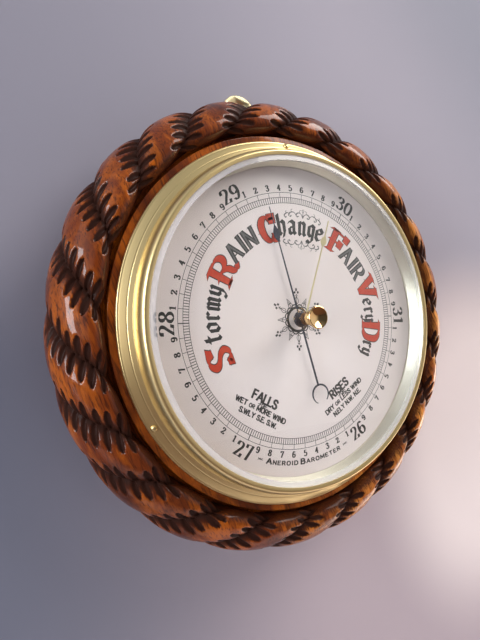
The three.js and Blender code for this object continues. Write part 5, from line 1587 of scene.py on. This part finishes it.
@dataclass
class Bezel:
    """Turned brass bezel with its sloping flange, cove, bead and lip, and its pins."""

    seat: float = 57.3
    outer_radius: float = 115.2
    edge: float = 1.6
    flange_width: float = 7.9
    flange_rise: float = 4.19
    cove_width: float = 0.4
    cove_rise: float = 2.51
    crown_radius: float = 103.4
    sight_radius: float = 101.6
    lip_back: float = 73.6
    lip_height: float = 0.45
    flange_bulge: float = 0.12
    line_depth: float = 0.1
    line_places: tuple = (0.66,)
    line_half_width: float = 0.35
    nose: float = 1.1
    spigot_radius: float = 104.6
    spigot_wall: float = 2
    spigot_depth: float = 9.3
    bevel_slope: float = 0.4
    pin_circle: float = 112.3
    pin_head_radius: float = 1.9
    pin_head_height: float = 1.2
    segments: int = 360
    nose_drop: float = 0.55
    pin_count: int = 3
    pin_bore: float = 0.02
    pin_shank: float = 0.8
    pin_depth: float = 4
    pin_gap: float = 0.3

    def ring(self) -> Piece:
        """Turns the bezel's section; the cove and the bead are quarter ellipses."""
        edge = self.seat + self.edge
        inner = self.outer_radius - self.flange_width
        rise = edge + self.flange_rise
        foot = (inner - self.cove_width, rise + self.cove_rise)
        lip_front = self.lip_back + self.lip_height
        cove = arc((inner, foot[1]), (self.cove_width, self.cove_rise), 270, 180, 11)
        bead = arc((self.crown_radius, foot[1]),
                   (foot[0] - self.crown_radius, lip_front + self.lip_height - foot[1]), 0, 90, 23)
        spigot = self.spigot_radius + self.spigot_wall
        floor = self.seat - self.spigot_depth
        slope = self.bevel_slope * (self.spigot_radius - self.sight_radius)
        back = [(spigot, floor), (spigot, self.seat), (self.outer_radius, self.seat)]
        front = [(self.sight_radius, lip_front), (self.sight_radius, self.lip_back),
                 (self.spigot_radius, self.lip_back - slope), (self.spigot_radius, floor)]
        outline = np.vstack([back, self.flange(edge, inner, rise), cove, bead[1:], front])
        return turned("bezel_ring", outline, self.segments, 40)

    def flange(self, edge: float, inner: float, rise: float) -> np.ndarray:
        """The sloping flange from its round nose inwards.

        At the share s across, the face stands flange_bulge sin(pi s) above the straight slope, less
        line_depth (1 - (d / w)^2) within w of each fine turned line. The nose is a quarter round.

        Args:
            edge: Forward distance where the slope would meet the outer radius.
            inner: Radius where the flange ends.
            rise: Forward distance there.

        Returns:
            Corners as (radius, forward).
        """
        middle = (self.outer_radius - self.nose, edge - self.nose * self.nose_drop)
        nose = arc(middle, (self.nose, self.nose), 0, 90, 7)
        share = np.linspace(0.2, 0.99, 64)
        away = np.abs(share[:, None] - np.array(self.line_places)) * self.flange_width / self.line_half_width
        lines = np.clip(1 - away ** 2, 0, 1).sum(1) * self.line_depth
        bulge = self.flange_bulge * np.sin(np.pi * share)
        face = np.column_stack([self.outer_radius + (inner - self.outer_radius) * share,
                                edge + (rise - edge) * share + bulge - lines])
        return np.vstack([nose, face])

    def pins(self) -> list[Piece]:
        """Round-headed pins square to the sloping flange."""
        slope = math.atan2(self.flange_rise, self.flange_width)
        climb = self.flange_rise * (self.outer_radius - self.pin_circle) / self.flange_width
        surface = self.seat + self.edge + climb
        bore, shank, head, gap = self.pin_bore, self.pin_shank, self.pin_head_radius, self.pin_gap
        dome = arc((0, gap), (head, self.pin_head_height), 0, 90, 8)[1:-1]
        outline = np.vstack([[(bore, -self.pin_depth), (shank, -self.pin_depth), (shank, gap), (head, gap)],
                             dome, [(bore, gap + self.pin_head_height)]])
        pins = []
        for index in range(self.pin_count):
            pin = turned(f"bezel_pin_head_{index + 1}", outline, 24, 50)
            pin.data.transform(Matrix.Rotation(2 * math.pi * index / self.pin_count, 4, "Y")
                               @ Matrix.Translation((0, -surface * MM, self.pin_circle * MM))
                               @ Matrix.Rotation(-slope, 4, "X"))
            pins.append(pin)
        return pins


@dataclass
class Sight:
    """Bevelled glass, reflector ring and dial plate."""

    dial_face: float = 60.3
    dial_thickness: float = 1.5
    dial_radius: float = 104.3
    hole_radius: float = 3.2
    glass_back: float = 69.7
    glass_front: float = 74.7
    bevel_radius: float = 98.1
    bevel_edge: float = 72.2
    glass_hole: float = 2.6
    reflector_radius: float = 97.8
    reflector_wall: float = 0.8
    flange: float = 1.7
    lip: float = 1.6
    gap: float = 0.3

    def glass(self) -> Piece:
        """The glass, bevelled from the inner edge of the bezel outwards."""
        outline = [(self.glass_hole, self.glass_back), (self.dial_radius, self.glass_back),
                   (self.dial_radius, self.bevel_edge), (self.bevel_radius, self.glass_front),
                   (self.glass_hole, self.glass_front)]
        return turned("glass_plate", rounded(outline, 0.25, 2), 288, 5)

    def reflector(self) -> Piece:
        """The sloping ring that fills the depth from the dial to the glass."""
        low = self.dial_face + self.gap
        high = self.glass_back - self.gap
        cone = self.dial_radius - self.flange
        wall = self.reflector_wall
        inner, lip = self.reflector_radius, low + self.lip
        outline = [(inner, low), (inner + wall, low), (cone + wall / 2, high - wall),
                   (self.dial_radius, high - wall), (self.dial_radius, high), (cone, high),
                   (inner + wall / 4, lip), (inner, lip - wall / 4)]
        return turned("reflector", rounded(outline, 0.2, 3), 288)

    def dial(self) -> Piece:
        """The plain plate of the dial."""
        back = self.dial_face - self.dial_thickness
        outline = [(self.hole_radius, back), (self.dial_radius, back), (self.dial_radius, self.dial_face),
                   (self.hole_radius, self.dial_face)]
        return turned("dial_plate", rounded(outline, 0.15, 2), 192)


@dataclass
class Studio:
    """Camera, lamps, pale wall and floor, in metres."""

    camera_place: tuple = (-0.1820, -0.3182, -0.0096)
    right: tuple = (0.87673921, -0.47794551, -0.05381868)
    up: tuple = (0.03010041, -0.0571531, 0.99791156)
    back: tuple = (-0.48002326, -0.87652816, -0.03572201)
    lens: float = 27.575
    sensor: float = 36
    clip: Point = (0.01, 20)
    reach: float = 2.5
    wall_back: float = 0.0006
    floor_drop: float = 0.62
    opening: float = 0.131
    sun_glow: float = 6.0

    def camera(self) -> None:
        """Sets the camera at the photograph's angle."""
        data = bpy.data.cameras.new("camera")
        data.lens = self.lens
        data.sensor_width = self.sensor
        data.clip_start, data.clip_end = self.clip
        eye = bpy.data.objects.new("camera", data)
        turn = Matrix((self.right, self.up, self.back)).transposed().to_4x4()
        eye.matrix_world = Matrix.Translation(self.camera_place) @ turn
        bpy.context.scene.collection.objects.link(eye)
        bpy.context.scene.camera = eye

    def lamp(self, name: str, place: tuple, size: tuple, power: float, colour: tuple) -> None:
        """Adds an area lamp that faces the dial's centre.

        Args:
            name: Name of the lamp.
            place: Where it stands, in metres.
            size: Width and height in metres.
            power: Watts.
            colour: Linear red, green and blue.
        """
        data = bpy.data.lights.new(name, "AREA")
        data.shape = "RECTANGLE"
        data.size, data.size_y = size
        data.energy = power
        data.color = colour
        lamp = bpy.data.objects.new(name, data)
        lamp.location = place
        lamp.rotation_mode = "QUATERNION"
        lamp.rotation_quaternion = Vector(place).to_track_quat("Z", "Y")
        bpy.context.scene.collection.objects.link(lamp)

    def lamps(self) -> None:
        """Soft light from two large panels."""
        self.lamp("window", (-1.9, -0.65, 0.3), (0.6, 1.4), 30, (0.88, 0.94, 1.0))
        self.lamp("room", (1.5, -1.0, 1.6), (1.8, 1.4), 50, (1.0, 0.95, 0.9))

    def room(self) -> None:
        """An even light; metal and glass mirror a room that is bright at the left, the right and the top."""
        world = bpy.data.worlds.new("room")
        s = NodeSheet(world)
        side, _, height = s.apart(s.node("TexCoord").outputs["Generated"])
        panels = s.sums("ADD", s.ease(side, -0.25, -0.8, 0.85), s.ease(side, 0.3, 0.95, 0.8),
                        s.ease(height, 0.3, 0.9, 0.3), 0.08)
        bright = s.sums("MULTIPLY", panels, s.sums("ADD", s.ease(height, -0.6, 0.05, 0.7), 0.3))
        hue = s.blend(s.ease(height, -0.5, 0.5), (1, 0.8, 0.66, 1), (0.93, 0.95, 1, 1))
        reflected = s.node("VectorMath", {0: hue, "Scale": bright}, operation="SCALE").outputs[0]
        ray = s.node("LightPath").outputs
        mirrored = s.sums("MAXIMUM", ray["Is Glossy Ray"], ray["Is Transmission Ray"])
        light = s.blend(mirrored, (0.46, 0.445, 0.45, 1), reflected)
        colour = s.blend(ray["Is Camera Ray"], light, linear(214, 212, 216))
        s.show(s.node("Background", {"Color": colour}).outputs[0])
        bpy.context.scene.world = world

    def wall_paint(self) -> bpy.types.Material:
        """Mottled grey paint with painted shadows at the lower left and upper right and a painted pool of sunlight
        at the right that glows to light the case, clear from behind and behind the case.
        """
        paint = bpy.data.materials.new("wall_paint")
        s = NodeSheet(paint)
        across, _, height = s.apart(s.where())
        # Painted shadow: darker towards the lower left, paler to the right.
        low = s.blend(s.ease(across, -0.19, 0.09), linear(104, 107, 124), linear(174, 160, 167))
        high = s.blend(s.ease(across, -0.2, 0.12), linear(134, 132, 145), linear(162, 158, 170))
        tint = s.blend(s.ease(height, 0.07, -0.03), high, low)
        # Painted shadow towards the upper right.
        tint = s.blend(s.ease(s.sums("ADD", across, height), 0.34, 0.62), tint, linear(140, 141, 154))
        # Painted pool of sunlight at the lower right.
        nearest = s.node("CombineXYZ", {0: s.sums("MINIMUM", across, 0.258), 2: height}).outputs[0]
        away = s.length(s.mapped(nearest, (6.2, 0, 5), shift=(-1.6, 0, 0.6)))
        tint = s.blend(s.ease(away, 0.98, 0.42), tint, linear(231, 219, 218))
        cloud = s.noise(s.where(), 3, 2, 0.5)
        tint = s.blend(s.span(cloud, 0.3, 0.7, 0, 0.05), tint, linear(188, 184, 190))
        # Painted sunlight: the patch beyond the camera's view glows for every ray but the camera's.
        unseen = s.sums("SUBTRACT", 1.0, s.node("LightPath").outputs["Is Camera Ray"])
        glow = s.sums("MULTIPLY", s.ease(across, 0.3, 0.42), s.ease(height, 0.05, -0.1), unseen,
                      s.ease(across, 1.1, 0.8), self.sun_glow)
        front = s.surface(Base_Color=tint, Roughness=0.85, Emission_Color=(1, 0.86, 0.7, 1),
                          Emission_Strength=glow)
        behind = s.node("NewGeometry").outputs["Backfacing"]
        opened = s.sums("MAXIMUM", behind, s.sums("LESS_THAN", s.length(s.where()), self.opening))
        s.show(s.mixed(opened, front, s.node("BsdfTransparent").outputs[0]))
        return paint

    def floor_paint(self) -> bpy.types.Material:
        """Pale paint, whose far part looks dark in mirrors."""
        paint = bpy.data.materials.new("floor_paint")
        s = NodeSheet(paint)
        level = s.apart(s.where())[1]
        shade = s.sums("MULTIPLY", s.span(level, -0.18, -0.4), s.node("LightPath").outputs["Is Glossy Ray"])
        s.surface(Base_Color=s.blend(shade, linear(214, 210, 214), linear(84, 54, 40)), Roughness=0.8)
        return paint

    def surfaces(self) -> None:
        """The wall behind the object and the floor far below it."""
        reach, drop, level = self.reach, -self.floor_drop, self.wall_back
        wall = [(-reach, level, drop), (reach, level, drop), (reach, level, reach), (-reach, level, reach)]
        floor = [(-reach, -reach, drop), (reach, -reach, drop), (reach, reach, drop), (-reach, reach, drop)]
        wall, floor = (new_object(name, np.array(corners) / MM, [[0, 1, 2, 3]], 30)
                       for name, corners in (("wall", wall), ("floor", floor)))
        wall.data.materials.append(self.wall_paint())
        floor.data.materials.append(self.floor_paint())


def dress_nodes() -> None:
    """Gives every frame node the finish of its slot."""
    finishes = {finish.slot.value: finish for finish in (
        OAK, OAK_BACK, POLISHED_BRASS, PALE_BRASS, SILVERED, MOVEMENT_BRASS, BLUED_STEEL, STEEL, NICKEL_SILVER,
        DIAL_WHITE, GLASS, LEATHER)}
    slots = {row["node"]: row["material_slot"] for row in frame["record"]["subparts"]}
    for name, node in frame["nodes"].items():
        node.data.materials.clear()
        node.data.materials.append(finishes[slots[name]].material())


def main() -> None:
    """Builds the pieces in order."""
    logging.basicConfig(level=logging.INFO, format="%(name)s: %(message)s")
    dress_nodes()
    studio = Studio()
    studio.camera()
    studio.lamps()
    studio.room()
    studio.surfaces()
    case, hanger, bezel, sight = RopeCase(), Hanger(), Bezel(), Sight()
    rope, ring = case.rope(), case.core()
    carve_away(ring, hanger.pocket())
    carve_away(rope, hanger.pocket())
    dress(rope, OAK, Body.CASE, "rope_case")
    dress(ring, OAK, Body.CASE, "rope_case")
    dress(hanger.plate(), PALE_BRASS, Body.CASE, "hanger_plate")
    cover = BackCover()
    dress(cover.board(), OAK_BACK, Body.CASE, "back_cover")
    for kind, screws in (("back_cover", cover.screws()), ("hanger", hanger.screws())):
        for index, screw in enumerate(screws, 1):
            dress(screw.body(f"{kind}_slotted_{index}"), PALE_BRASS, Body.CASE, f"{kind}_screw_{index}")
    dress(bezel.ring(), POLISHED_BRASS, Body.CASE, "bezel")
    for index, pin in enumerate(bezel.pins(), 1):
        dress(pin, POLISHED_BRASS, Body.CASE, f"bezel_pin_{index}")
    dress(sight.glass(), GLASS, Body.CASE, "glass")
    dress(sight.reflector(), SILVERED, Body.CASE, "reflector_ring")
    dress(sight.dial(), DIAL_WHITE, Body.CASE, "dial")
    DialPrinting().pieces()
    hands = Hands()
    dress(hands.pointer(), BLUED_STEEL, Body.POINTER, "pointer")
    dress(hands.boss(), BLUED_STEEL, Body.POINTER, "pointer_boss")
    dress(hands.set_hand(), PALE_BRASS, Body.SET_HAND, "set_hand")
    dress(hands.knob(), KNOB_BRASS, Body.SET_HAND, "setting_knob")
    bpy.context.scene.view_settings.view_transform = "Standard"


if __name__ == "__main__":
    main()
